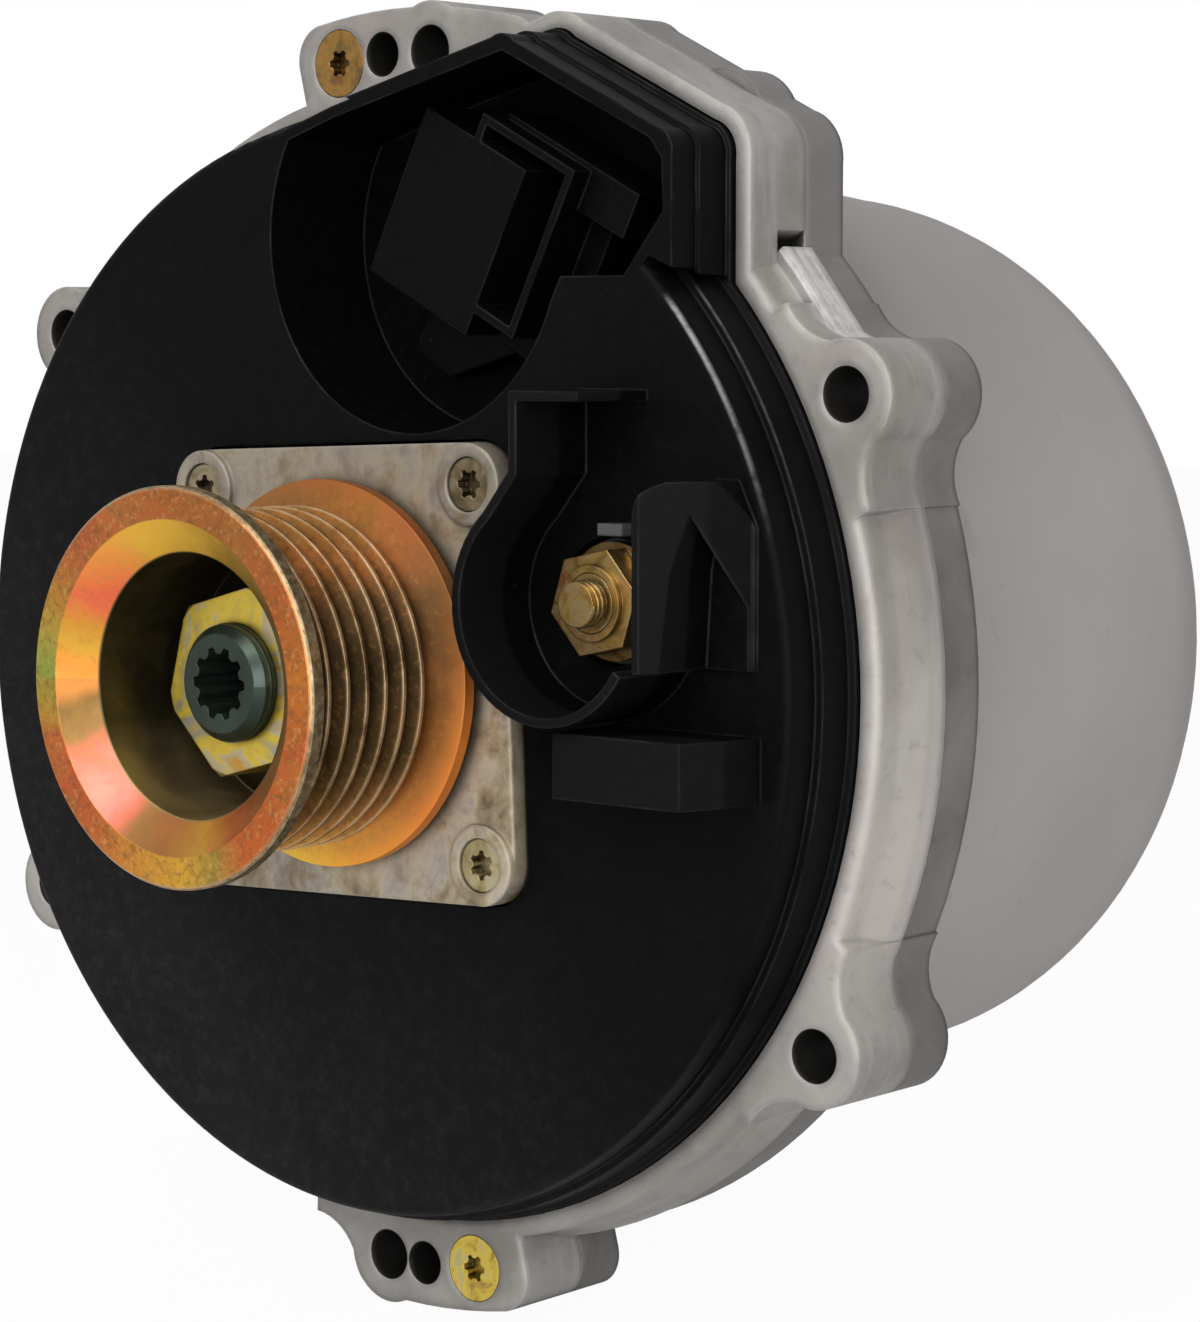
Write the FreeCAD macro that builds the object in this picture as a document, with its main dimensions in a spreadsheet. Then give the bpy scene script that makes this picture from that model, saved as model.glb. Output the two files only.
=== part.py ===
import FreeCAD, Part
import math
import os
import Sketcher

# Liquid-cooled alternator. The shaft lies along Y with the pulley towards -Y, +Z is up.
# The origin is on the shaft axis, in the plane of the flange's rear face that is bolted down.

# Driving sizes in millimetres and degrees
SIZES = {
    # Bolting flange
    "mount_circle_dia": 174.4,
    "mount_hole_dia": 7.2,
    "mount_first_angle": 27.0,
    "ear_radius": 7.4,
    "ear_foot_half": 15.0,
    "cup_ear_thickness": 8.2,
    "shield_ear_thickness": 12.3,
    "flange_radius": 83.2,
    "parting_radius": 85.1,
    "lug_radius": 93.4,
    "upper_lug_angle": 104.0,
    "lower_lug_angle": 264.0,
    "lower_lug_end_angle": 284.5,
    "screw_upper_angle": 98.8,
    "screw_lower_angle": 278.1,
    "dowel_upper_angle": 93.1,
    "dowel_lower_angle": 271.7,
    "dowel_hole_dia": 6.2,
    "dowel_hole_depth": 9.0,
    # Corner lug round the connector, seen from the front
    "lug_left_x": -5.0,
    "lug_left_z": 80.6,
    "lug_peak_x": 29.0,
    "lug_peak_z": 88.9,
    "lug_shoulder_x": 57.6,
    "lug_shoulder_z": 74.6,
    "lug_side_x": 59.4,
    "lug_side_z": 54.0,
    "lug_wall": 2.4,
    # End shield
    "cover_seat_radius": 80.35,
    "cover_seat_depth": 3.0,
    "spigot_wall": 4.6,
    "spigot_length": 18.7,
    "web_thickness": 5.0,
    "hub_radius": 29.0,
    "hub_stand_out": 8.0,
    "machined_angle": 38.0,
    "machined_length": 15.5,
    "machined_stand_out": 2.5,
    "machined_width": 6.3,
    "brush_window_width": 20.0,
    "brush_window_length": 16.0,
    "rib_thickness": 3.0,
    "rib_height": 9.0,
    # Rear cup
    "cup_mouth_radius": 77.0,
    "cup_tail_radius": 69.6,
    "cup_length": 98.5,
    "cup_round": 25.0,
    "cup_mouth_bore": 73.0,
    "cup_end_wall": 5.0,
    # Front cover
    "cover_height": 11.6,
    "cover_face_radius": 77.8,
    "cover_step_radius": 79.1,
    "cover_step_height": 6.6,
    "cover_wall": 2.4,
    "cover_edge_round": 1.4,
    "plate_gap": 0.4,
    # Connector recess in the cover
    "recess_x": 11.5,
    "recess_z": 61.0,
    "recess_radius": 27.4,
    "recess_floor": 7.5,
    "recess_wall": 1.6,
    # Terminal shroud on the cover
    "terminal_x": 47.8,
    "terminal_z": 12.0,
    "shroud_radius": 14.4,
    "shroud_wall": 1.3,
    "shroud_height": 14.0,
    "shroud_top_z": 38.7,
    "hood_left_x": 62.3,
    "hood_right_x": 72.4,
    "hood_bottom_z": 4.2,
    "hood_top_z": 28.6,
    "box_left_x": 48.0,
    "box_right_x": 73.0,
    "box_top_z": -4.4,
    "box_bottom_z": -13.1,
    "box_height": 12.0,
    "tab_stand_out": 1.9,
    # Plug connector in the recess
    "connector_x": 14.2,
    "connector_z": 62.4,
    "connector_turn": -26.8,
    "connector_height": 13.5,
    "connector_left": 11.5,
    "connector_half": 12.5,
    "block_right": 9.0,
    "socket_right": 17.0,
    "socket_top": 16.2,
    "socket_bottom": 9.0,
    "socket_wall": 1.2,
    "plug_socket_depth": 10.5,
    # Bearing plate
    "plate_half": 31.7,
    "plate_corner": 5.9,
    "plate_turn": 2.3,
    "plate_thickness": 6.0,
    "plate_bore": 14.0,
    "plate_screw_at": 26.0,
    "plate_screw_shank": 2.5,
    "plate_screw_head": 3.7,
    "plate_screw_length": 20.0,
    "plate_boss_radius": 6.4,
    "plate_boss_height": 0.8,
    # Pulley
    "pulley_clearance": 1.4,
    "groove_pitch": 3.56,
    "groove_count": 7.0,
    "groove_depth": 2.8,
    "groove_half_angle": 20.0,
    "groove_root_half": 0.5,
    "pulley_crest_radius": 23.74,
    "pulley_flange_radius": 27.2,
    "pulley_land": 2.3,
    "pulley_mouth_radius": 22.8,
    "pulley_mouth_depth": 4.05,
    "pulley_bore_radius": 18.06,
    "pulley_web": 9.0,
    "nut_across_flats": 24.0,
    "nut_height": 10.0,
    # Shaft
    "shaft_radius": 8.5,
    "shaft_thread_radius": 8.0,
    "shaft_stand_out": 3.2,
    "shaft_core_radius": 10.5,
    "shaft_rear_radius": 7.5,
    "socket_radius": 5.0,
    "socket_root": 4.1,
    "socket_points": 10.0,
    "socket_depth": 12.0,
    # Bearings
    "front_bearing_radius": 23.5,
    "front_bearing_width": 14.0,
    "rear_bearing_radius": 17.5,
    "rear_bearing_width": 11.0,
    "front_race_wall": 3.9,
    "rear_race_wall": 2.9,
    "front_ball_radius": 4.4,
    "rear_ball_radius": 2.9,
    "front_ball_count": 7.0,
    "rear_ball_count": 8.0,
    "ball_gap": 0.12,
    "cage_thickness": 2.0,
    "sleeve_wall": 2.0,
    # Rotor and stator
    "slip_ring_radius": 13.4,
    "slip_ring_width": 6.0,
    "slip_ring_space": 1.2,
    "slip_ring_wall": 1.6,
    "rotor_start": 38.5,
    "rotor_radius": 50.0,
    "rotor_length": 48.0,
    "claw_count": 6.0,
    "claw_root_thickness": 9.0,
    "air_gap": 0.5,
    "stator_radius": 66.0,
    "stator_length": 38.0,
    "stator_slots": 36.0,
    "slot_depth": 10.0,
    "slot_width": 4.6,
    "winding_overhang": 11.0,
    # Brush gear
    "brush_width": 5.0,
    "brush_breadth": 6.4,
    "brush_length": 17.0,
    "brush_travel": 3.0,
    "holder_wall": 1.6,
    # Electrical pieces under the cover
    "sink_thickness": 3.0,
    "sink_inner_radius": 44.0,
    "sink_outer_radius": 66.0,
    "sink_space": 5.5,
    "diode_radius": 5.6,
    "stud_radius": 4.0,
    "stud_end_radius": 3.0,
    "stud_end_length": 2.8,
    "stud_nut_flats": 13.0,
    "stud_nut_height": 6.5,
    "stud_nut_collar": 5.1,
    "stud_nut_collar_height": 0.8,
    # Clearances
    "seat_gap": 0.1,
    "guide_gap": 0.15,
    "large_gap": 0.25,
}


class Size:
    """A size: its number, and the same thing written in the sheet's names."""

    def __init__(self, text, number):
        self.text = text
        self.number = number

    def __add__(self, other):
        other = as_size(other)
        return Size("(%s + %s)" % (self.text, other.text), self.number + other.number)

    def __sub__(self, other):
        other = as_size(other)
        return Size("(%s - %s)" % (self.text, other.text), self.number - other.number)

    def __mul__(self, other):
        other = as_size(other)
        return Size("(%s * %s)" % (self.text, other.text), self.number * other.number)

    def __truediv__(self, other):
        other = as_size(other)
        return Size("(%s / %s)" % (self.text, other.text), self.number / other.number)

    def __neg__(self):
        return Size("(0 - %s)" % self.text, -self.number)

    __radd__ = __add__
    __rmul__ = __mul__

    def __rsub__(self, other):
        return as_size(other) - self

    def __rtruediv__(self, other):
        return as_size(other) / self


def as_size(value):
    return value if isinstance(value, Size) else Size("(%.9g)" % value, float(value))


def cosine(angle):
    angle = as_size(angle)
    return Size("cos(%s)" % angle.text, math.cos(math.radians(angle.number)))


def sine(angle):
    angle = as_size(angle)
    return Size("sin(%s)" % angle.text, math.sin(math.radians(angle.number)))


def tangent(angle):
    angle = as_size(angle)
    return Size("tan(%s)" % angle.text, math.tan(math.radians(angle.number)))


def on_circle(radius, angle, centre=(0, 0)):
    """A point at a radius and an angle from a centre, in the sketch's own two directions."""
    return (radius * cosine(angle) + centre[0], radius * sine(angle) + centre[1])


doc = FreeCAD.newDocument("Alternator")
sheet = doc.addObject("Spreadsheet::Sheet", "Sizes")
for row, (name, number) in enumerate(SIZES.items(), 1):
    sheet.set("A%d" % row, name)
    sheet.set("B%d" % row, "%.9g" % number)
    sheet.setAlias("B%d" % row, name)
doc.recompute()


class Named:
    """The driving sizes by name."""


d = Named()
for name, number in SIZES.items():
    setattr(d, name, Size("Sizes." + name, number))

# Stations along the shaft
SHIELD_BACK = -d.cup_ear_thickness
FRONT = SHIELD_BACK - d.shield_ear_thickness
COVER_FACE = FRONT - d.cover_height
HUB_FACE = FRONT - d.hub_stand_out
PLATE_FACE = HUB_FACE - d.plate_thickness
PULLEY_BACK = PLATE_FACE - d.pulley_clearance
NUT_SEAT = PULLEY_BACK - d.pulley_web
NUT_FACE = NUT_SEAT - d.nut_height
SHAFT_FRONT = NUT_FACE - d.shaft_stand_out
FRONT_BEARING_BACK = HUB_FACE + d.front_bearing_width
SPIGOT_END = SHIELD_BACK + d.spigot_length
WEB_FRONT = SPIGOT_END - d.web_thickness
CUP_END = d.cup_length
CUP_INSIDE = CUP_END - d.cup_end_wall
ROTOR_FRONT = FRONT + d.rotor_start
ROTOR_BACK = ROTOR_FRONT + d.rotor_length
STATOR_FRONT = ROTOR_FRONT + (d.rotor_length - d.stator_length) / 2
STATOR_BACK = STATOR_FRONT + d.stator_length
REAR_BEARING_BACK = CUP_INSIDE - 1
REAR_BEARING_FRONT = REAR_BEARING_BACK - d.rear_bearing_width
MOUNT_RADIUS = d.mount_circle_dia / 2

bodies = []


def new_body(label):
    made = doc.addObject("PartDesign::Body", label)
    made.Label = label
    bodies.append(made)
    return made


def new_sketch(body, name, role, offset=None):
    """A sketch on one of the body's own origin planes, moved along its normal by an offset."""
    made = body.newObject("Sketcher::SketchObject", name)
    plane = [item for item in body.Origin.OriginFeatures if item.Role == role][0]
    made.AttachmentSupport = [(plane, "")]
    made.MapMode = "FlatFace"
    if offset is not None:
        made.setExpression(".AttachmentOffset.Base.z", offset.text)
    return made


def facing(body, name, station):
    """A sketch square to the shaft at a station, X to the right and Z up, facing the front."""
    return new_sketch(body, name, "XZ_Plane", -as_size(station))


def hold(sketch, kind, geometry, end, size):
    """Holds one end of an edge at a signed distance from the sketch's origin."""
    size = as_size(size)
    place = sketch.addConstraint(Sketcher.Constraint(kind, -1, 1, geometry, end, size.number))
    sketch.setExpression("Constraints[%d]" % place, size.text)


def arc_between(start, end, radius, turn):
    """The arc of a radius from start to end that turns left (+1) or right (-1)."""
    chord = end - start
    middle = (start + end) * 0.5
    half = chord.Length / 2
    rise = math.sqrt(max(radius * radius - half * half, 0))
    side = FreeCAD.Vector(-chord.y, chord.x, 0).normalize()
    centre = middle + side * rise * turn
    first = math.atan2(start.y - centre.y, start.x - centre.x)
    last = math.atan2(end.y - centre.y, end.x - centre.x)
    circle = Part.Circle(centre, FreeCAD.Vector(0, 0, 1), radius)
    if turn > 0:
        return Part.ArcOfCircle(circle, first, last)
    return Part.ArcOfCircle(circle, last, first)


def outline(sketch, points):
    """A closed outline. A point is (u, v) or (u, v, radius, turn), where the edge leaving it is an arc."""
    places = [FreeCAD.Vector(as_size(p[0]).number, as_size(p[1]).number, 0) for p in points]
    ends = []
    for index, point in enumerate(points):
        start = places[index]
        end = places[(index + 1) % len(points)]
        if len(point) == 2:
            edge = sketch.addGeometry(Part.LineSegment(start, end), False)
            ends.append((edge, 1, 2))
            continue
        radius = as_size(point[2])
        edge = sketch.addGeometry(arc_between(start, end, radius.number, point[3]), False)
        place = sketch.addConstraint(Sketcher.Constraint("Radius", edge, radius.number))
        sketch.setExpression("Constraints[%d]" % place, radius.text)
        ends.append((edge, 1, 2) if point[3] > 0 else (edge, 2, 1))
    for index, (edge, first, last) in enumerate(ends):
        after = ends[(index + 1) % len(ends)]
        sketch.addConstraint(Sketcher.Constraint("Coincident", edge, last, after[0], after[1]))
        hold(sketch, "DistanceX", edge, first, points[index][0])
        hold(sketch, "DistanceY", edge, first, points[index][1])


def grown(points, amount):
    """The same outline with each edge moved outwards by an amount."""
    places = [FreeCAD.Vector(as_size(p[0]).number, as_size(p[1]).number, 0) for p in points]
    leaving = []
    arriving = []
    for index, point in enumerate(points):
        start = places[index]
        end = places[(index + 1) % len(points)]
        along = (end - start).normalize()
        bend = 0
        if len(point) > 2:
            bend = math.asin(min(1, (end - start).Length / 2 / as_size(point[2]).number)) * point[3]
        leaving.append(math.atan2(along.y, along.x) - bend)
        arriving.append(math.atan2(along.y, along.x) + bend)
    made = []
    for index, point in enumerate(points):
        first = arriving[index - 1] - math.pi / 2
        second = leaving[index] - math.pi / 2
        share = 1 / (1 + math.cos(first - second))
        move_u = (math.cos(first) + math.cos(second)) * share
        move_v = (math.sin(first) + math.sin(second)) * share
        place = [point[0] + amount * move_u, point[1] + amount * move_v]
        if len(point) > 2:
            place += [point[2] + amount * point[3], point[3]]
        made.append(tuple(place))
    return made


def circle(sketch, u, v, radius):
    """A full circle held by its centre and its radius."""
    radius = as_size(radius)
    centre = FreeCAD.Vector(as_size(u).number, as_size(v).number, 0)
    edge = sketch.addGeometry(Part.Circle(centre, FreeCAD.Vector(0, 0, 1), radius.number), False)
    place = sketch.addConstraint(Sketcher.Constraint("Radius", edge, radius.number))
    sketch.setExpression("Constraints[%d]" % place, radius.text)
    hold(sketch, "DistanceX", edge, 3, u)
    hold(sketch, "DistanceY", edge, 3, v)


def box_points(left, right, bottom, top):
    return [(left, bottom), (right, bottom), (right, top), (left, top)]


def finish(body, feature, grows):
    """Recomputes a new feature and stops where it adds or removes nothing."""
    before = body.Shape.Volume if body.Tip and not body.Shape.isNull() else 0
    body.Tip = feature
    doc.recompute()
    change = body.Shape.Volume - before
    if "Invalid" in feature.State or (change > 0) != grows or abs(change) < 0.01:
        raise RuntimeError("%s of %s changes nothing: %s, %.3f" % (
            feature.Label, body.Label, feature.State, change))
    return feature


def pad(body, name, station, points, length, circles=()):
    """Material from a station towards the front over a length, inside an outline."""
    sketch = facing(body, name + "_sketch", station)
    draw(sketch, points, circles)
    feature = body.newObject("PartDesign::Pad", name)
    feature.Profile = sketch
    feature.setExpression("Length", as_size(length).text)
    return finish(body, feature, True)


def pocket(body, name, station, points, length, circles=()):
    """A cut from a station towards the rear over a length, inside an outline."""
    sketch = facing(body, name + "_sketch", station)
    draw(sketch, points, circles)
    feature = body.newObject("PartDesign::Pocket", name)
    feature.Profile = sketch
    feature.setExpression("Length", as_size(length).text)
    return finish(body, feature, False)


def draw(sketch, points, circles):
    if points:
        outline(sketch, points)
    for u, v, radius in circles:
        circle(sketch, u, v, radius)


def turned(body, name, points, cut=False):
    """A solid of revolution round the shaft axis, or a turned cut, from (radius, station) points."""
    sketch = new_sketch(body, name + "_sketch", "XY_Plane")
    outline(sketch, points)
    kind = "PartDesign::Groove" if cut else "PartDesign::Revolution"
    feature = body.newObject(kind, name)
    feature.Profile = sketch
    feature.ReferenceAxis = (sketch, ["V_Axis"])
    feature.Angle = 360
    return finish(body, feature, not cut)


def ring_points(inner, outer, front, back):
    return [(inner, front), (outer, front), (outer, back), (inner, back)]


def repeated(body, name, feature, count, grows):
    """A feature repeated round the shaft axis."""
    pattern = body.newObject("PartDesign::PolarPattern", name)
    pattern.Originals = [feature]
    pattern.Axis = (feature.Profile[0], ["N_Axis"])
    pattern.Angle = 360
    pattern.setExpression("Occurrences", as_size(count).text)
    return finish(body, pattern, grows)


def root(value):
    value = as_size(value)
    return Size("sqrt(%s)" % value.text, math.sqrt(value.number))


def side_cut(body, name, top, points, depth):
    """A cut downwards from a height, inside an outline of (x, y) points."""
    sketch = new_sketch(body, name + "_sketch", "XY_Plane", as_size(top))
    outline(sketch, points)
    feature = body.newObject("PartDesign::Pocket", name)
    feature.Profile = sketch
    feature.setExpression("Length", as_size(depth).text)
    return finish(body, feature, False)


def ear_points(angle):
    """A mounting ear: a rounded tip on the bolt circle with hollow flanks down to the ring."""
    side = angle + 90
    ring = d.flange_radius + 0.6

    def place(out, across):
        return (out * cosine(angle) + across * cosine(side), out * sine(angle) + across * sine(side))

    half = d.ear_radius - 0.1
    hollow = d.ear_radius * 1.2
    foot = place(ring, -d.ear_foot_half)
    neck = place(MOUNT_RADIUS + 0.9, -half)
    far_neck = place(MOUNT_RADIUS + 0.9, half)
    far_foot = place(ring, d.ear_foot_half)
    return [
        place(ring - 6, -d.ear_foot_half),
        foot + (hollow, -1),
        neck + (d.ear_radius, 1),
        far_neck + (hollow, -1),
        far_foot,
        place(ring - 6, d.ear_foot_half),
    ]


def sector_points(first, last, inner, outer, corner):
    """A lug that follows the ring between two angles, with two rounded outer corners."""
    turn = corner / outer * 57.3
    return [
        on_circle(inner, first),
        on_circle(outer - corner, first) + (corner, 1),
        on_circle(outer, first + turn) + (outer, 1),
        on_circle(outer, last - turn) + (corner, 1),
        on_circle(outer - corner, last),
        on_circle(inner, last),
    ]


def crescent_points(first, last, inner, outer):
    """A flat crescent round the shaft, wider than half a turn where it needs to be."""
    middle = (first + last) / 2
    return [
        on_circle(outer, first) + (outer, 1),
        on_circle(outer, middle) + (outer, 1),
        on_circle(outer, last),
        on_circle(inner, last) + (inner, -1),
        on_circle(inner, middle) + (inner, -1),
        on_circle(inner, first),
    ]


def corner_lug_points():
    """The cover's edge round the connector: a peak, a shoulder and an upright side."""
    return [
        (d.lug_side_x, d.lug_side_z),
        (d.lug_side_x, d.lug_shoulder_z - 4.4, 4.6, 1),
        (d.lug_shoulder_x - 1.6, d.lug_shoulder_z + 0.8),
        (d.lug_peak_x + 2.6, d.lug_peak_z - 1.4, 4.5, 1),
        (d.lug_peak_x - 2.8, d.lug_peak_z - 0.6),
        (d.lug_left_x, d.lug_left_z),
    ]


def recess_points():
    """The connector recess: round on the left and below, with a corner that follows the lug."""
    centre = (d.recess_x, d.recess_z)
    left = on_circle(d.recess_radius, 150, centre)
    low = on_circle(d.recess_radius, 245, centre)
    right = on_circle(d.recess_radius, -19.5, centre)
    return [
        left + (d.recess_radius, 1),
        low + (d.recess_radius, 1),
        right,
        (d.lug_side_x - 20.4, d.lug_side_z + 1),
        (d.lug_side_x - 9.4, d.lug_side_z + 1),
        (d.lug_side_x - 2.8, d.lug_side_z + 9.2),
        (d.lug_side_x - 3.0, d.lug_shoulder_z - 4.6),
        (d.lug_shoulder_x - 3.2, d.lug_shoulder_z - 1.9),
        (d.lug_peak_x - 0.4, d.lug_peak_z - 3.6),
        (d.lug_left_x + 2, d.lug_left_z - 3.0),
    ]


def rounded_square(half, corner):
    """The bearing plate's outline, turned a little about the shaft."""
    inner = half - corner
    points = [
        (-inner, -half), (inner, -half, corner, 1),
        (half, -inner), (half, inner, corner, 1),
        (inner, half), (-inner, half, corner, 1),
        (-half, inner), (-half, -inner, corner, 1),
    ]
    return turned_points(points, (0, 0), d.plate_turn)


def turned_points(points, centre, angle):
    """Points given along a slanted direction and across it, moved to a centre."""
    made = []
    for point in points:
        u, v = point[:2]
        across = centre[0] + u * cosine(angle) - v * sine(angle)
        along = centre[1] + u * sine(angle) + v * cosine(angle)
        made.append((across, along) + tuple(point[2:]))
    return made


def hexagon(across_flats, centre=(0, 0), start=0):
    corner = across_flats / 2 / cosine(30)
    return [on_circle(corner, start + 60 * step, centre) for step in range(6)]


def mount_holes(body, station, length):
    centre = on_circle(MOUNT_RADIUS, d.mount_first_angle)
    hole = pocket(body, "mount_hole", station, [], length, [centre + (d.mount_hole_dia / 2,)])
    repeated(body, "mount_holes", hole, 6, False)


def flange_form(body, station, thickness):
    """Ears, upper and lower lug and corner lug of one flange, from its rear face forward."""
    ear = pad(body, "ear", station, ear_points(d.mount_first_angle), thickness)
    repeated(body, "ears", ear, 6, True)
    inner = d.flange_radius - 5
    upper = sector_points(as_size(74), d.upper_lug_angle, inner, d.lug_radius, 5)
    pad(body, "upper_lug", station, upper, thickness)
    lower = sector_points(d.lower_lug_angle - 1.5, d.lower_lug_end_angle, inner, d.lug_radius, 5)
    pad(body, "lower_lug", station, lower, thickness)
    pad(body, "corner_lug", station, grown(corner_lug_points(), d.lug_wall), thickness)


def make_end_shield():
    """Cast shield: bolting flange, locating spigot, web with ribs, and the hub of the front bearing."""
    body = new_body("end_shield")
    rim = d.flange_radius
    turned(body, "flange", [
        (SPIGOT_INNER, FRONT), (rim - 1.2, FRONT, 1.2, 1), (rim, FRONT + 1.2), (rim + 0.2, FRONT + 4.5),
        (d.parting_radius - 0.3, SHIELD_BACK - 3.3), (d.parting_radius, SHIELD_BACK),
        (SPIGOT_INNER, SHIELD_BACK),
    ])
    flange_form(body, SHIELD_BACK, d.shield_ear_thickness)
    half = d.machined_length / 2
    top = rim + d.machined_stand_out
    machined = turned_points(box_points(rim - 4, top, -half, half), (0, 0), d.machined_angle)
    pad(body, "machined_pad", SHIELD_BACK, machined, d.machined_width)
    notch = turned_points(box_points(rim - 0.6, top + 2, half, half + 2.4), (0, 0), d.machined_angle)
    pocket(body, "machined_notch", SHIELD_BACK - d.machined_width, notch, d.machined_width - 0.5)
    turned(body, "spigot", ring_points(SPIGOT_INNER, SPIGOT_RADIUS, SHIELD_BACK - 4, SPIGOT_END))
    turned(body, "web", ring_points(d.hub_radius - 8, SPIGOT_INNER + 1, WEB_FRONT, SPIGOT_END))
    turned(body, "hub", ring_points(SHAFT_PASSAGE, d.hub_radius, HUB_FACE, SPIGOT_END))
    pillar = [PLATE_SCREW + (d.plate_boss_radius,)]
    pillar = pad(body, "pillar", SPIGOT_END, [], SPIGOT_END - HUB_FACE, pillar)
    repeated(body, "pillars", pillar, 4, True)
    half = d.rib_thickness / 2
    ribs = box_points(d.hub_radius - 2, SPIGOT_INNER + 1, -half, half)
    rib = pad(body, "rib", SPIGOT_END, ribs, d.web_thickness + d.rib_height)
    repeated(body, "ribs", rib, 6, True)
    for number, place in enumerate(SINK_SCREWS):
        pad(body, "sink_post_%d" % number, SPIGOT_END, [], SPIGOT_END - SINK_SEAT, [place + (4.5,)])
    seat = [(0, 0, d.cover_seat_radius), (0, 0, SPIGOT_INNER - 0.1)]
    pocket(body, "cover_seat", FRONT, [], d.cover_seat_depth, seat)
    pocket(body, "lug_seat", FRONT, grown(corner_lug_points(), d.guide_gap), d.cover_seat_depth)
    space = d.recess_floor + d.recess_wall + d.large_gap
    pocket(body, "recess_space", FRONT, grown(recess_points(), d.recess_wall + d.large_gap), space)
    seat = ring_points(0, d.front_bearing_radius + d.seat_gap, HUB_FACE, FRONT_BEARING_BACK)
    turned(body, "bearing_seat", seat, True)
    width = d.brush_window_width / 2
    window = box_points(-width, width, -d.hub_radius - 2, -SHAFT_PASSAGE + 2)
    pocket(body, "brush_window", FRONT_BEARING_BACK + 2.2, window, d.brush_window_length)
    seat = ring_points(SPIGOT_RADIUS - 2.1, SPIGOT_RADIUS + 1, SHIELD_BACK + 6, SHIELD_BACK + 8.6)
    turned(body, "ring_groove", seat, True)
    shank = d.plate_screw_shank + d.seat_gap
    hole = pocket(body, "plate_hole", HUB_FACE, [], d.plate_screw_length, [PLATE_SCREW + (shank,)])
    repeated(body, "plate_holes", hole, 4, False)
    for number, place in enumerate(SINK_SCREWS):
        pocket(body, "sink_hole_%d" % number, SINK_SEAT, [], 10, [place + (SINK_SCREW_RADIUS + d.seat_gap,)])
    mount_holes(body, FRONT, d.shield_ear_thickness)
    for number, angle in enumerate((d.screw_upper_angle, d.screw_lower_angle)):
        place = on_circle(MOUNT_RADIUS, angle)
        shank = [place + (CASE_SCREW_SHANK + d.seat_gap,)]
        pocket(body, "case_screw_hole_%d" % number, FRONT, [], d.shield_ear_thickness, shank)
        head = [place + (CASE_SCREW_HEAD + d.seat_gap,)]
        pocket(body, "case_screw_seat_%d" % number, FRONT, [], CASE_SCREW_HEAD_DEPTH, head)
    for number, angle in enumerate((d.dowel_upper_angle, d.dowel_lower_angle)):
        place = on_circle(MOUNT_RADIUS, angle)
        dowel = [place + (d.dowel_hole_dia / 2,)]
        pocket(body, "dowel_hole_%d" % number, FRONT, [], d.dowel_hole_depth, dowel)


def make_rear_housing():
    """Drawn-in cup with a tapered wall and a rounded tail; its flange is bolted to the engine."""
    body = new_body("rear_housing")
    tail = d.cup_tail_radius
    flange = d.parting_radius - 0.4
    turned(body, "cup", [
        (0, SHIELD_BACK), (flange, SHIELD_BACK), (flange, 0), (d.cup_mouth_radius, 0),
        (tail, CUP_END - d.cup_round, d.cup_round, 1), (tail - d.cup_round, CUP_END), (0, CUP_END),
    ])
    flange_form(body, 0, d.cup_ear_thickness)
    shoulder = [(d.lug_shoulder_x - 11, d.lug_shoulder_z + 0.8, 8)]
    pad(body, "shoulder_lug", 0, [], d.cup_ear_thickness, shoulder)
    boss = d.rear_bearing_radius + d.sleeve_wall + 2 * d.seat_gap
    winding = d.stator_radius - 3
    turned(body, "inside", [
        (0, SHIELD_BACK), (d.cup_mouth_bore, SHIELD_BACK), (d.cup_mouth_bore, STATOR_FRONT - 6),
        (d.stator_radius + d.guide_gap, STATOR_FRONT - 4), (d.stator_radius + d.guide_gap, STATOR_BACK),
        (winding, STATOR_BACK), (winding, CUP_INSIDE - 16), (winding - 13, CUP_INSIDE),
        (boss + 5, CUP_INSIDE), (boss + 5, REAR_BEARING_FRONT - 1), (boss, REAR_BEARING_FRONT - 1),
        (boss, REAR_BEARING_BACK), (boss - 3, REAR_BEARING_BACK), (boss - 3, CUP_INSIDE), (0, CUP_INSIDE),
    ], True)
    mount_holes(body, SHIELD_BACK, d.cup_ear_thickness)
    for number, angle in enumerate((d.screw_upper_angle, d.screw_lower_angle)):
        shank = [on_circle(MOUNT_RADIUS, angle) + (CASE_SCREW_SHANK + d.seat_gap,)]
        pocket(body, "case_screw_hole_%d" % number, SHIELD_BACK, [], d.cup_ear_thickness, shank)


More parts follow.
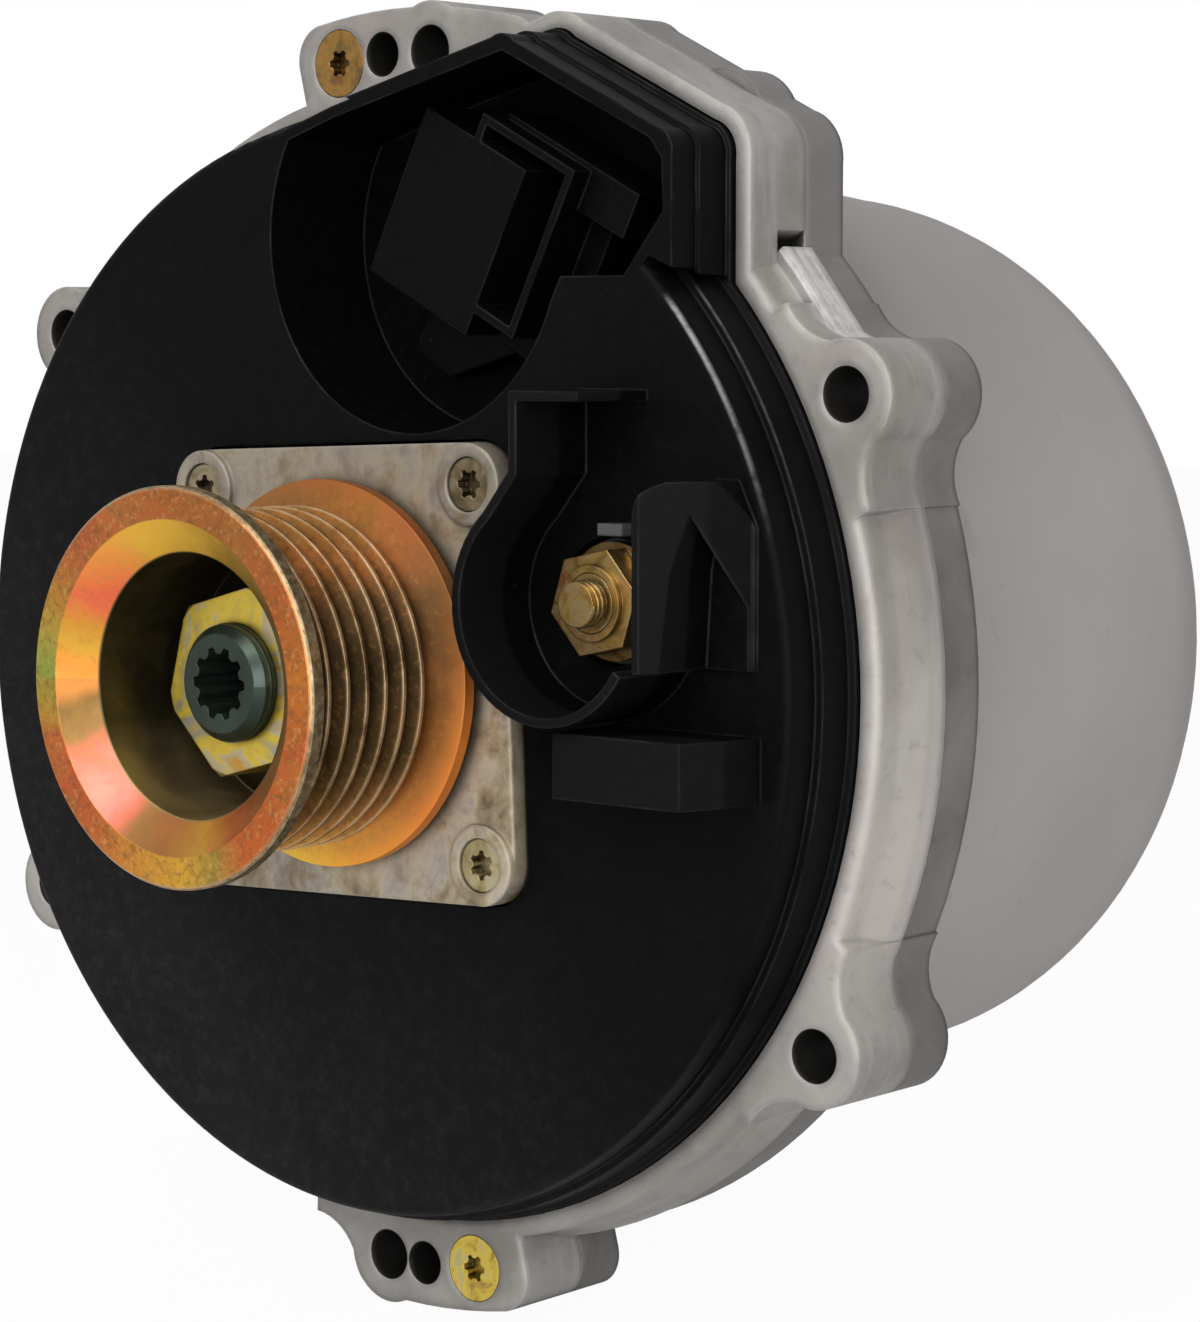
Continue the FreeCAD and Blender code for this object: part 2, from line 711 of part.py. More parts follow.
def make_front_cover():
    """Moulded cover: stepped skirt, corner lug, deep connector recess and the terminal shroud."""
    body = new_body("front_cover")
    back = FRONT + d.cover_seat_depth
    face = d.cover_face_radius
    step = FRONT - d.cover_step_height
    seat = d.cover_seat_radius - d.guide_gap
    edge = d.cover_edge_round
    turned(body, "shell", [
        (0, COVER_FACE), (face - edge, COVER_FACE, edge, 1), (face, COVER_FACE + edge), (face + 0.2, step),
        (d.cover_step_radius, step + 0.2), (d.cover_step_radius + 0.2, FRONT - 1.2), (seat, FRONT - 0.8),
        (seat, back), (0, back),
    ])
    wall = d.cover_wall
    turned(body, "hollow", [
        (0, COVER_FACE + wall), (face - wall - 1, COVER_FACE + wall), (face - wall, COVER_FACE + wall + 1),
        (face - wall, back), (0, back),
    ], True)
    lug = corner_lug_points()
    height = back - COVER_FACE
    pad(body, "corner_foot", back, grown(lug, -d.guide_gap / 2), back - FRONT + 1)
    pad(body, "corner_step", back, grown(lug, as_size(-0.7)), back - step)
    pad(body, "corner_block", back, grown(lug, as_size(-1.3)), height)
    bottom = FRONT + d.recess_floor + d.recess_wall
    pad(body, "recess_cup", bottom, grown(recess_points(), d.recess_wall), bottom - COVER_FACE)
    pocket(body, "recess", COVER_FACE, recess_points(), d.cover_height + d.recess_floor)
    opening = rounded_square(d.plate_half + d.plate_gap, d.plate_corner + d.plate_gap)
    pocket(body, "plate_opening", COVER_FACE, opening, HUB_FACE + d.plate_gap - COVER_FACE)
    centre = (d.terminal_x, d.terminal_z)
    inner = d.shroud_radius
    outer = inner + d.shroud_wall
    top = d.shroud_top_z
    left = d.terminal_x - 4.3
    shroud = [
        (left + 10.5, top), (left, top), (left, top - 9.7), on_circle(inner, 130, centre) + (inner, 1),
        on_circle(inner, 240, centre) + (inner, 1), on_circle(inner, 328, centre),
        on_circle(outer, 328, centre) + (outer, -1), on_circle(outer, 240, centre) + (outer, -1),
        on_circle(outer, 130, centre), (left - d.shroud_wall, top - 9.2),
        (left - d.shroud_wall, top + d.shroud_wall), (left + 10.5, top + d.shroud_wall),
    ]
    base = COVER_FACE + 1
    pad(body, "shroud", base, shroud, d.shroud_height + 1)
    low = d.hood_bottom_z
    high = d.hood_top_z
    hood_left = d.hood_left_x
    hood_right = d.hood_right_x
    hood = [(hood_left, low), (hood_right, low), (hood_right, high - 6), (hood_right - 3, high),
            (hood_left + 3.2, high, 5, 1), (hood_left, high - 4.6)]
    pad(body, "hood", base, hood, d.shroud_height)
    crest = COVER_FACE - d.shroud_height
    side_cut(body, "hood_slope", high + 1, [
        (hood_left + 0.8, crest - 1), (hood_right + 2, crest - 1), (hood_right + 2, COVER_FACE - 0.6),
        (hood_right - 0.4, COVER_FACE - 0.6), (hood_left + 0.8, crest + 0.6),
    ], high - low + 2)
    channel = [(hood_left + 2.5, low - 1), (hood_right - 0.2, low - 1), (hood_right - 0.4, low + 7.2),
               (hood_left + 4.9, high - 4.1), (hood_left + 3.4, low + 12.7)]
    pocket(body, "channel", crest + 1, channel, d.shroud_height - 2)
    box = box_points(d.box_left_x, d.box_right_x, d.box_bottom_z, d.box_top_z)
    pad(body, "terminal_box", base, box, d.box_height + 1)
    box_front = COVER_FACE - d.box_height
    side_cut(body, "box_slope", d.box_top_z + 1, [
        (d.box_right_x - 3.7, box_front - 1), (d.box_right_x + 2, box_front - 1),
        (d.box_right_x + 2, COVER_FACE - 0.4), (d.box_right_x, COVER_FACE - 0.4),
        (d.box_right_x - 3.7, box_front),
    ], d.box_top_z - d.box_bottom_z + 2)
    hole = TERMINAL_BUSH_RADIUS + d.large_gap
    tab = box_points(
        d.terminal_x - 0.7, d.terminal_x + 3.5, d.terminal_z + hole + 0.2, d.terminal_z + hole + 1.8)
    pad(body, "tab", base, tab, d.tab_stand_out + 1)
    pocket(body, "terminal_hole", COVER_FACE - 0.1, [], wall + 2, [centre + (hole,)])


def make_bearing_plate():
    """Square plate that keeps the front bearing in the hub, with a boss round each screw."""
    body = new_body("bearing_plate")
    pad(body, "plate", HUB_FACE, rounded_square(d.plate_half, d.plate_corner), d.plate_thickness)
    boss = [PLATE_SCREW + (d.plate_half - d.plate_screw_at - 0.1,)]
    boss = pad(body, "boss", PLATE_FACE + 1, [], d.plate_boss_height + 1, boss)
    repeated(body, "bosses", boss, 4, True)
    pocket(body, "bore", PLATE_FACE, [], d.plate_thickness, [(0, 0, d.plate_bore)])
    shank = d.plate_screw_shank + d.seat_gap
    hole = pocket(body, "screw_hole", PLATE_FACE, [], d.plate_thickness, [PLATE_SCREW + (shank,)])
    repeated(body, "screw_holes", hole, 4, False)
    head = [PLATE_SCREW + (d.plate_screw_head + d.seat_gap,)]
    front = PLATE_FACE - d.plate_boss_height
    seat = pocket(body, "screw_seat", front, [], PLATE_HEAD_DEPTH + d.plate_boss_height, head)
    repeated(body, "screw_seats", seat, 4, False)


def make_plate_screws():
    """Four recessed screws of the bearing plate."""
    body = new_body("bearing_plate_screws")
    seat = PLATE_FACE + PLATE_HEAD_DEPTH
    head = pad(body, "head", seat, [], PLATE_HEAD_DEPTH + 0.4, [PLATE_SCREW + (d.plate_screw_head,)])
    repeated(body, "heads", head, 4, True)
    end = HUB_FACE + d.plate_screw_length - 2
    shank = pad(body, "shank", end, [], end - seat, [PLATE_SCREW + (d.plate_screw_shank,)])
    repeated(body, "shanks", shank, 4, True)
    star = star_points(6, 2.1, 1.55, PLATE_SCREW)
    drive = pocket(body, "drive", PLATE_FACE - 0.4, star, 1.8)
    repeated(body, "drives", drive, 4, False)


def star_points(count, tip, valley, centre):
    """A star socket: short flats at the tips and in the valleys."""
    step = 360.0 / count
    made = []
    for number in range(count):
        start = number * step
        made.append(on_circle(tip, start - step * 0.16, centre))
        made.append(on_circle(tip, start + step * 0.16, centre))
        made.append(on_circle(valley, start + step * 0.34, centre))
        made.append(on_circle(valley, start + step * 0.66, centre))
    return made


def make_case_screws():
    """Two flat-headed screws that hold the shield to the cup when the unit is off the engine."""
    body = new_body("case_screws")
    for number, angle in enumerate((d.screw_upper_angle, d.screw_lower_angle)):
        place = on_circle(MOUNT_RADIUS, angle)
        seat = FRONT + CASE_SCREW_HEAD_DEPTH
        pad(body, "head_%d" % number, seat, [], CASE_SCREW_HEAD_DEPTH, [place + (CASE_SCREW_HEAD,)])
        pad(body, "shank_%d" % number, -0.5, [], -0.5 - seat, [place + (CASE_SCREW_SHANK,)])
        pocket(body, "drive_%d" % number, FRONT, star_points(6, 2.0, 1.5, place), 1.8)


def make_pulley():
    """Seven-groove belt pulley with a deep hollow front."""
    body = new_body("pulley")
    root_radius = d.pulley_crest_radius - d.groove_depth
    slope = tangent(d.groove_half_angle)
    rise = (d.pulley_flange_radius - root_radius) * slope
    crest_rise = d.groove_depth * slope
    rim = d.pulley_flange_radius
    bore = d.shaft_radius + d.seat_gap / 2
    first_root = PULLEY_BACK - d.pulley_land - rise - d.groove_root_half
    count = int(d.groove_count.number)
    last_root = first_root - (count - 1) * d.groove_pitch
    front = last_root - d.groove_root_half - rise - d.pulley_land
    points = [
        (bore, PULLEY_BACK), (rim - 0.5, PULLEY_BACK), (rim, PULLEY_BACK - 0.5),
        (rim, PULLEY_BACK - d.pulley_land),
    ]
    for number in range(count):
        centre = first_root - number * d.groove_pitch
        if number:
            points.append((d.pulley_crest_radius, centre + d.groove_root_half + crest_rise))
        points.append((root_radius, centre + d.groove_root_half))
        points.append((root_radius, centre - d.groove_root_half))
        if number < count - 1:
            points.append((d.pulley_crest_radius, centre - d.groove_root_half - crest_rise))
    points += [
        (rim, front + d.pulley_land), (rim, front + 0.5), (rim - 0.5, front), (d.pulley_mouth_radius, front),
        (d.pulley_bore_radius, front + d.pulley_mouth_depth), (d.pulley_bore_radius, NUT_SEAT),
        (bore, NUT_SEAT),
    ]
    turned(body, "pulley", points[::-1])


def make_pulley_nut():
    """Hexagon nut with chamfered corners."""
    body = new_body("pulley_nut")
    pad(body, "nut", NUT_SEAT, hexagon(d.nut_across_flats, (0, 0), 15), d.nut_height,
        [(0, 0, d.shaft_thread_radius + d.seat_gap / 2)])
    reach = d.nut_across_flats / 2 / cosine(30)
    flat = d.nut_across_flats / 2
    chamfer = [(flat - 0.2, NUT_FACE - 1), (reach + 1, NUT_FACE - 1), (reach + 1, NUT_FACE + 1.4)]
    turned(body, "chamfer", chamfer, True)


def make_shaft():
    """Rotor shaft: threaded front end with a multi-point socket, bearing seats and the pole core seat."""
    body = new_body("rotor_shaft")
    thread = d.shaft_thread_radius
    core = d.shaft_core_radius
    turned(body, "shaft", [
        (0, SHAFT_FRONT), (thread - 1.2, SHAFT_FRONT), (thread, SHAFT_FRONT + 1.2), (thread, NUT_SEAT + 1),
        (d.shaft_radius, NUT_SEAT + 1), (d.shaft_radius, FRONT_BEARING_BACK), (core, FRONT_BEARING_BACK),
        (core, REAR_BEARING_FRONT), (d.shaft_rear_radius, REAR_BEARING_FRONT),
        (d.shaft_rear_radius, REAR_BEARING_BACK), (d.shaft_rear_radius - 1, REAR_BEARING_BACK + 0.5),
        (0, REAR_BEARING_BACK + 0.5),
    ])
    star = star_points(int(d.socket_points.number), d.socket_radius, d.socket_root, (0, 0))
    pocket(body, "socket", SHAFT_FRONT, star, d.socket_depth)


def make_ring(label, inner, outer, front, back):
    body = new_body(label)
    turned(body, "ring", ring_points(inner, outer, front, back))
    return body


def make_bearing(prefix, bore, outside, front, back, wall, ball, count):
    """Grooved races, balls in a cage, and two seals."""
    middle = (front + back) / 2
    pitch = (bore + outside) / 2
    groove = ball + d.ball_gap
    inner_top = bore + wall
    outer_bottom = outside - wall
    half = root(groove * groove - (pitch - inner_top) * (pitch - inner_top))
    inner = new_body(prefix + "_inner_race")
    turned(inner, "race", [
        (bore, front), (inner_top, front), (inner_top, middle - half, groove, -1), (inner_top, middle + half),
        (inner_top, back), (bore, back),
    ])
    half = root(groove * groove - (outer_bottom - pitch) * (outer_bottom - pitch))
    outer = new_body(prefix + "_outer_race")
    turned(outer, "race", [
        (outer_bottom, front), (outside, front), (outside, back), (outer_bottom, back),
        (outer_bottom, middle + half, groove, -1), (outer_bottom, middle - half),
    ])
    seals = new_body(prefix + "_seals")
    turned(seals, "front_seal", ring_points(
        inner_top + 0.3, outer_bottom - d.seat_gap, front + 0.3, front + 1.1))
    turned(seals, "rear_seal", ring_points(
        inner_top + 0.3, outer_bottom - d.seat_gap, back - 1.1, back - 0.3))
    balls = []
    spaces = []
    for number in range(int(count.number)):
        turn = 360 / count * number
        x, z = on_circle(pitch, turn)
        sphere = doc.addObject("Part::Sphere", "%s_ball_%d" % (prefix, number))
        sphere.setExpression("Radius", ball.text)
        sphere.setExpression(".Placement.Base.x", x.text)
        sphere.setExpression(".Placement.Base.y", middle.text)
        sphere.setExpression(".Placement.Base.z", z.text)
        balls.append(sphere)
        x, z = on_circle(pitch - 2 * d.cage_thickness, turn)
        space = doc.addObject("Part::Cylinder", "%s_space_%d" % (prefix, number))
        space.setExpression("Radius", (ball + d.guide_gap).text)
        space.setExpression("Height", (4 * d.cage_thickness).text)
        space.setExpression(".Placement.Base.x", x.text)
        space.setExpression(".Placement.Base.y", middle.text)
        space.setExpression(".Placement.Base.z", z.text)
        outward = FreeCAD.Vector(cosine(turn).number, 0, sine(turn).number)
        space.Placement.Rotation = FreeCAD.Rotation(FreeCAD.Vector(0, 0, 1), outward)
        spaces.append(space)
    together = doc.addObject("Part::Compound", prefix + "_balls")
    together.Links = balls
    together.Label = prefix + "_balls"
    bodies.append(together)
    pockets = doc.addObject("Part::MultiFuse", prefix + "_spaces")
    pockets.Shapes = spaces
    rims = []
    for name, radius in (("rim", pitch + d.cage_thickness / 2), ("core", pitch - d.cage_thickness / 2)):
        rim = doc.addObject("Part::Cylinder", "%s_%s" % (prefix, name))
        rim.setExpression("Radius", radius.text)
        rim.setExpression("Height", (ball * 2.3).text)
        rim.setExpression(".Placement.Base.y", (middle + ball * 1.15).text)
        rim.Placement.Rotation = FreeCAD.Rotation(FreeCAD.Vector(1, 0, 0), 90)
        rims.append(rim)
    band = doc.addObject("Part::Cut", prefix + "_band")
    band.Base, band.Tool = rims
    cage = doc.addObject("Part::Cut", prefix + "_cage")
    cage.Base, cage.Tool = band, pockets
    cage.Label = prefix + "_cage"
    doc.recompute()
    bodies.append(cage)


def make_claw_pole(label, front_side):
    """Half of the claw-pole rotor: a disc with a core boss and fingers that taper over the coil."""
    body = new_body(label)
    thickness = d.claw_root_thickness
    core = COIL_INNER - d.seat_gap - 1
    bore = d.shaft_core_radius + d.seat_gap / 2
    middle = (ROTOR_FRONT + ROTOR_BACK) / 2
    outer = d.rotor_radius
    if front_side:
        near, inside, far = ROTOR_FRONT, ROTOR_FRONT + thickness, ROTOR_BACK - 2
        turned(body, "core", ring_points(bore, core, near, middle))
        turned(body, "disc", ring_points(bore, outer - 18, near, inside))
    else:
        near, inside, far = ROTOR_BACK, ROTOR_BACK - thickness, ROTOR_FRONT + 2
        turned(body, "core", ring_points(bore, core, middle, near))
        turned(body, "disc", ring_points(bore, outer - 18, inside, near))
    count = d.claw_count
    turn = as_size(0) if front_side else 180 / count
    arm = [
        on_circle(outer - 19, turn - 14), on_circle(outer, turn - 14) + (outer, 1),
        on_circle(outer, turn + 14), on_circle(outer - 19, turn + 14),
    ]
    station = inside if front_side else near
    piece = pad(body, "arm", station, arm, thickness)
    repeated(body, "arms", piece, count, True)
    finger = body.newObject("PartDesign::AdditiveLoft", "finger")
    root_sketch = facing(body, "finger_root", inside)
    outline(root_sketch, [
        on_circle(outer - 9.5, turn - 14), on_circle(outer, turn - 14) + (outer, 1),
        on_circle(outer, turn + 14), on_circle(outer - 9.5, turn + 14) + (outer - 9.5, -1),
    ])
    tip_sketch = facing(body, "finger_tip", far)
    outline(tip_sketch, [
        on_circle(outer - 4, turn - 6), on_circle(outer, turn - 6) + (outer, 1),
        on_circle(outer, turn + 6), on_circle(outer - 4, turn + 6) + (outer - 4, -1),
    ])
    finger.Profile = root_sketch
    finger.Sections = [tip_sketch]
    finger.Ruled = True
    finish(body, finger, True)
    pattern = body.newObject("PartDesign::PolarPattern", "fingers")
    pattern.Originals = [finger]
    pattern.Axis = (root_sketch, ["N_Axis"])
    pattern.Angle = 360
    pattern.setExpression("Occurrences", count.text)
    finish(body, pattern, True)


def make_coil():
    bobbin = new_body("coil_bobbin")
    front = ROTOR_FRONT + d.claw_root_thickness + d.guide_gap
    back = ROTOR_BACK - d.claw_root_thickness - d.guide_gap
    turned(bobbin, "bobbin", [
        (COIL_INNER - 0.9, front), (COIL_OUTER, front),
        (COIL_OUTER, front + 1), (COIL_INNER + 0.1, front + 1),
        (COIL_INNER + 0.1, back - 1), (COIL_OUTER, back - 1), (COIL_OUTER, back), (COIL_INNER - 0.9, back),
    ])
    make_ring("field_coil", COIL_INNER + 0.2, COIL_OUTER - 0.4, front + 1.1, back - 1.1)


def make_stator():
    """Slotted core, and a winding whose bars lie in the slots between two end rings."""
    core = make_ring("stator_core", STATOR_BORE, d.stator_radius, STATOR_FRONT, STATOR_BACK)
    half = d.slot_width / 2
    slot = box_points(STATOR_BORE - 2, STATOR_BORE + d.slot_depth, -half, half)
    slot = pocket(core, "slot", STATOR_FRONT, slot, d.stator_length)
    repeated(core, "slots", slot, d.stator_slots, False)
    winding = new_body("stator_winding")
    inner = STATOR_BORE + 2
    outer = STATOR_BORE + d.slot_depth - 0.6
    gap = as_size(0.8)
    over = d.winding_overhang
    turned(winding, "front_end", [
        (inner, STATOR_FRONT - gap), (inner, STATOR_FRONT - over + 1), (inner + 1, STATOR_FRONT - over),
        (outer + 1, STATOR_FRONT - over), (outer + 2, STATOR_FRONT - over + 1),
        (outer + 2, STATOR_FRONT - gap),
    ])
    turned(winding, "rear_end", [
        (inner, STATOR_BACK + gap), (outer + 2, STATOR_BACK + gap), (outer + 2, STATOR_BACK + over - 1),
        (outer + 1, STATOR_BACK + over), (inner + 1, STATOR_BACK + over), (inner, STATOR_BACK + over - 1),
    ])
    bar = pad(winding, "bar", STATOR_BACK + gap + 0.5,
              box_points(inner + 0.5, outer, -half + 0.3, half - 0.3),
              d.stator_length + 2 * gap + 1)
    repeated(winding, "bars", bar, d.stator_slots, True)


def make_brush_gear():
    """Two carbon brushes below the slip rings, each in a well of the holder on its own spring."""
    holder = new_body("brush_holder")
    across = d.brush_breadth / 2 + d.guide_gap + d.holder_wall
    along = d.brush_width / 2 + d.guide_gap + 1.3
    low = BRUSH_WELL_FLOOR - 3
    back = RING_CENTRES[1] + along
    pad(holder, "block", back, box_points(-across, across, low, HOLDER_TOP), back - (RING_CENTRES[0] - along))
    for name, centre in zip(("front", "rear"), RING_CENTRES):
        half_x = d.brush_breadth / 2
        half_y = d.brush_width / 2
        well_x = half_x + d.guide_gap
        well_y = half_y + d.guide_gap
        side_cut(holder, name + "_well", HOLDER_TOP,
                 box_points(-well_x, well_x, centre - well_y, centre + well_y),
                 HOLDER_TOP - BRUSH_WELL_FLOOR)
        brush = new_body(name + "_brush")
        pad(brush, "block", centre + half_y,
            box_points(-half_x, half_x, BRUSH_LOW, -d.slip_ring_radius + 1), d.brush_width)
        pocket(brush, "hollow", centre - half_y, [], d.brush_width,
               [(0, 0, d.slip_ring_radius + d.guide_gap)])
        make_spring(name, centre)


def make_spring(name, centre):
    """A coil spring between the floor of the well and the brush."""
    wire = 0.3
    coil = 1.9
    low = BRUSH_WELL_FLOOR + wire + 0.05
    helix = doc.addObject("Part::Helix", name + "_spring_path")
    helix.Pitch = 2.4
    helix.Radius = coil
    helix.setExpression("Height", (BRUSH_LOW - low - wire - 0.05).text)
    helix.setExpression(".Placement.Base.y", centre.text)
    helix.setExpression(".Placement.Base.z", low.text)
    section = doc.addObject("Part::Circle", name + "_spring_wire")
    section.Radius = wire
    section.Placement.Rotation = FreeCAD.Rotation(FreeCAD.Vector(1, 0, 0), 90)
    section.Placement.Base.x = coil
    section.setExpression(".Placement.Base.y", centre.text)
    section.setExpression(".Placement.Base.z", low.text)
    doc.recompute()
    spring = doc.addObject("Part::Sweep", name + "_brush_spring")
    spring.Sections = [section]
    spring.Spine = (helix, ["Edge%d" % (n + 1) for n in range(len(helix.Shape.Edges))])
    spring.Solid = True
    spring.Frenet = True
    spring.Label = name + "_brush_spring"
    doc.recompute()
    bodies.append(spring)


def make_slip_rings():
    for name, centre in zip(("front", "rear"), RING_CENTRES):
        half = d.slip_ring_width / 2
        inner = d.slip_ring_radius - d.slip_ring_wall
        make_ring(name + "_slip_ring", inner, d.slip_ring_radius, centre - half, centre + half)
    inner = d.shaft_core_radius + d.seat_gap / 2
    outer = d.slip_ring_radius - d.slip_ring_wall - d.seat_gap / 2
    front = RING_CENTRES[0] - d.slip_ring_width / 2 - 0.6
    back = RING_CENTRES[1] + d.slip_ring_width / 2 + 0.6
    make_ring("slip_ring_collar", inner, outer, front, back)


def make_rectifier():
    """Two crescent heat sinks with press-fit diodes, on a plastic carrier that keeps them apart."""
    inner = d.sink_inner_radius
    outer = d.sink_outer_radius
    end = as_size(338)
    start = as_size(126)
    plates = (
        ("rectifier_minus_plate", SINK_SEAT, end),
        ("circuit_carrier", SINK_SEAT - d.sink_thickness, end),
        ("rectifier_plus_plate", SINK_SEAT - d.sink_thickness - d.sink_space, as_size(376)),
    )
    for label, back, last in plates:
        body = new_body(label)
        deep = d.sink_space if label == "circuit_carrier" else d.sink_thickness
        points = crescent_points(start, last, inner + 3 if label == "circuit_carrier" else inner, outer)
        pad(body, "plate", back, points, deep)
        for number, place in enumerate(SINK_SCREWS):
            pocket(body, "screw_hole_%d" % number, back - deep, [], deep,
                   [place + (SINK_SCREW_RADIUS + d.guide_gap,)])
        if label == "circuit_carrier":
            window = crescent_points(start + 4, last - 4, inner + 5, outer - 2)
            pocket(body, "window", back - deep, window, deep - 1.2)
            for number, place in enumerate(SINK_SCREWS):
                pad(body, "post_%d" % number, back, [], deep,
                    [place + (4,), place + (SINK_SCREW_RADIUS + d.guide_gap,)])
        else:
            for number, angle in enumerate(DIODE_ANGLES):
                place = on_circle(DIODE_CIRCLE, angle)
                pocket(body, "diode_hole_%d" % number, back - deep, [], deep,
                       [place + (d.diode_radius + d.seat_gap,)])
            if label == "rectifier_plus_plate":
                hole = [(d.terminal_x, d.terminal_z, d.stud_radius + d.seat_gap)]
                pocket(body, "stud_hole", back - deep, [], deep, hole)
    diodes = new_body("rectifier_diodes")
    front = SINK_SEAT - 2 * d.sink_thickness - d.sink_space
    for number, angle in enumerate(DIODE_ANGLES):
        place = on_circle(DIODE_CIRCLE, angle)
        pad(diodes, "minus_%d" % number, SINK_SEAT, [], d.sink_thickness, [place + (d.diode_radius,)])
        pad(diodes, "plus_%d" % number, front + d.sink_thickness, [], d.sink_thickness,
            [place + (d.diode_radius,)])
    screws = new_body("rectifier_screws")
    for number, place in enumerate(SINK_SCREWS):
        pad(screws, "shank_%d" % number, SINK_SEAT + 8, [], SINK_SEAT + 8 - front,
            [place + (SINK_SCREW_RADIUS,)])
        pad(screws, "head_%d" % number, front, [], 2, [place + (3.6,)])


def make_terminal():
    """Positive terminal: a stud with its head under the plus plate, a bush and a flanged nut."""
    centre = (d.terminal_x, d.terminal_z)
    plate_front = SINK_SEAT - 2 * d.sink_thickness - d.sink_space
    plate_back = plate_front + d.sink_thickness
    stud = new_body("terminal_stud")
    pad(stud, "head", plate_back + 3, [], 3, [centre + (6.2,)])
    nut_front = TERMINAL_SEAT - d.stud_nut_height
    root_end = plate_back + 1
    pad(stud, "shank", root_end, [], root_end - nut_front, [centre + (d.stud_radius,)])
    pad(stud, "end", nut_front + 1, [], d.stud_end_length + 1, [centre + (d.stud_end_radius,)])
    bush = new_body("terminal_bush")
    bore = centre + (d.stud_radius + d.seat_gap,)
    pad(bush, "bush", plate_front, [], plate_front - TERMINAL_SEAT, [centre + (TERMINAL_BUSH_RADIUS,), bore])
    nut = new_body("terminal_nut")
    bore = centre + (d.stud_radius + d.seat_gap / 2,)
    pad(nut, "flange", TERMINAL_SEAT, [], 1.6, [centre + (8,), bore])
    collar = nut_front + d.stud_nut_collar_height
    corners = hexagon(d.stud_nut_flats, centre, 12)
    pad(nut, "hexagon", TERMINAL_SEAT - 1, corners, TERMINAL_SEAT - 1 - collar, [bore])
    pad(nut, "collar", collar + 0.5, [], collar + 0.5 - nut_front, [centre + (d.stud_nut_collar,), bore])


def make_regulator():
    """Voltage regulator under the brush holder."""
    body = new_body("voltage_regulator")
    top = BRUSH_WELL_FLOOR - 3
    back = RING_CENTRES[1] + 2
    pad(body, "case", back, box_points(-15, 15, top - 15, top), 11)
    pad(body, "fins", back - 10, box_points(-13, 13, top - 14, top - 1), 2.4)
    fin = box_points(-1.1, 1.1, top - 15, top + 1)
    for number in range(4):
        shift = -9 + 6 * number
        points = [(u + shift, v) for u, v in fin]
        pocket(body, "gap_%d" % number, back - 12.4, points, 1.4)


def make_connector():
    """Plug socket in the cover's recess: a closed block in a thin-walled shell, with pins beside it."""
    body = new_body("connector_socket")
    centre = (d.connector_x, d.connector_z)
    floor = FRONT + d.recess_floor
    height = d.connector_height
    left = -d.connector_left
    half = d.connector_half

    def slanted(points):
        return turned_points(points, centre, d.connector_turn)

    pad(body, "foot", floor, slanted(box_points(left - 0.5, d.socket_right + 4, -half - 1, half)), 6)
    pad(body, "flank", floor,
        slanted(box_points(0, d.socket_right + 9, half - 2, d.socket_top + 0.8)), height - 3.5)
    step = [(-5, -half), (-5, -half - 9.4), (2.5, -half - 9.9), (12.3, -half - 1.1), (12.3, -half)]
    pad(body, "lower_step", floor, slanted(step), 5.5)
    pad(body, "block", floor, slanted(box_points(left, d.block_right, -half, half)), height)
    shell = box_points(-1.5, d.socket_right, -d.socket_bottom, d.socket_top)
    pad(body, "shell", floor, slanted(shell), height)
    wall = d.socket_wall
    mouth = [
        (d.block_right, wall - d.socket_bottom), (d.socket_right - wall, wall - d.socket_bottom),
        (d.socket_right - wall, d.socket_top - wall), (wall - 1.5, d.socket_top - wall), (wall - 1.5, half),
        (d.block_right, half),
    ]
    pocket(body, "mouth", floor - height, slanted(mouth), d.plug_socket_depth)
    pins = new_body("connector_pins")
    base = floor - height + d.plug_socket_depth
    for number in range(4):
        place = slanted([((d.block_right + d.socket_right - wall) / 2, 4.4 * number - 3.2)])[0]
        points = turned_points(box_points(-0.4, 0.4, -1.2, 1.2), place, d.connector_turn)
        pad(pins, "pin_%d" % number, base, points, 4.5)


# Places that several pieces share
SPIGOT_RADIUS = d.cup_mouth_bore - d.guide_gap
SPIGOT_INNER = SPIGOT_RADIUS - d.spigot_wall
SHAFT_PASSAGE = d.slip_ring_radius + 3.6
RING_START = FRONT_BEARING_BACK + 3.5
RING_CENTRES = (
    RING_START + d.slip_ring_width / 2,
    RING_START + d.slip_ring_width * 1.5 + d.slip_ring_space,
)
BRUSH_LOW = -d.slip_ring_radius - d.guide_gap - d.brush_length
BRUSH_WELL_FLOOR = BRUSH_LOW - 11.5
HOLDER_TOP = -d.slip_ring_radius - 2.2
STATOR_BORE = d.rotor_radius + d.air_gap
COIL_INNER = as_size(22)
COIL_OUTER = d.rotor_radius - 11
SINK_SEAT = FRONT + 6
SINK_SCREW_RADIUS = as_size(2)
SINK_SCREWS = [on_circle(as_size(51), angle) for angle in (133, 213, 312)]
DIODE_CIRCLE = as_size(57.5)
DIODE_ANGLES = (150, 167, 184, 232, 249, 290)
PLATE_SCREW = on_circle(d.plate_screw_at * root(2), 45 + d.plate_turn)
PLATE_HEAD_DEPTH = as_size(2.4)
CASE_SCREW_HEAD = as_size(4.8)
CASE_SCREW_HEAD_DEPTH = as_size(2.6)
CASE_SCREW_SHANK = as_size(2.5)
TERMINAL_BUSH_RADIUS = as_size(8.4)
TERMINAL_SEAT = COVER_FACE + 2.1

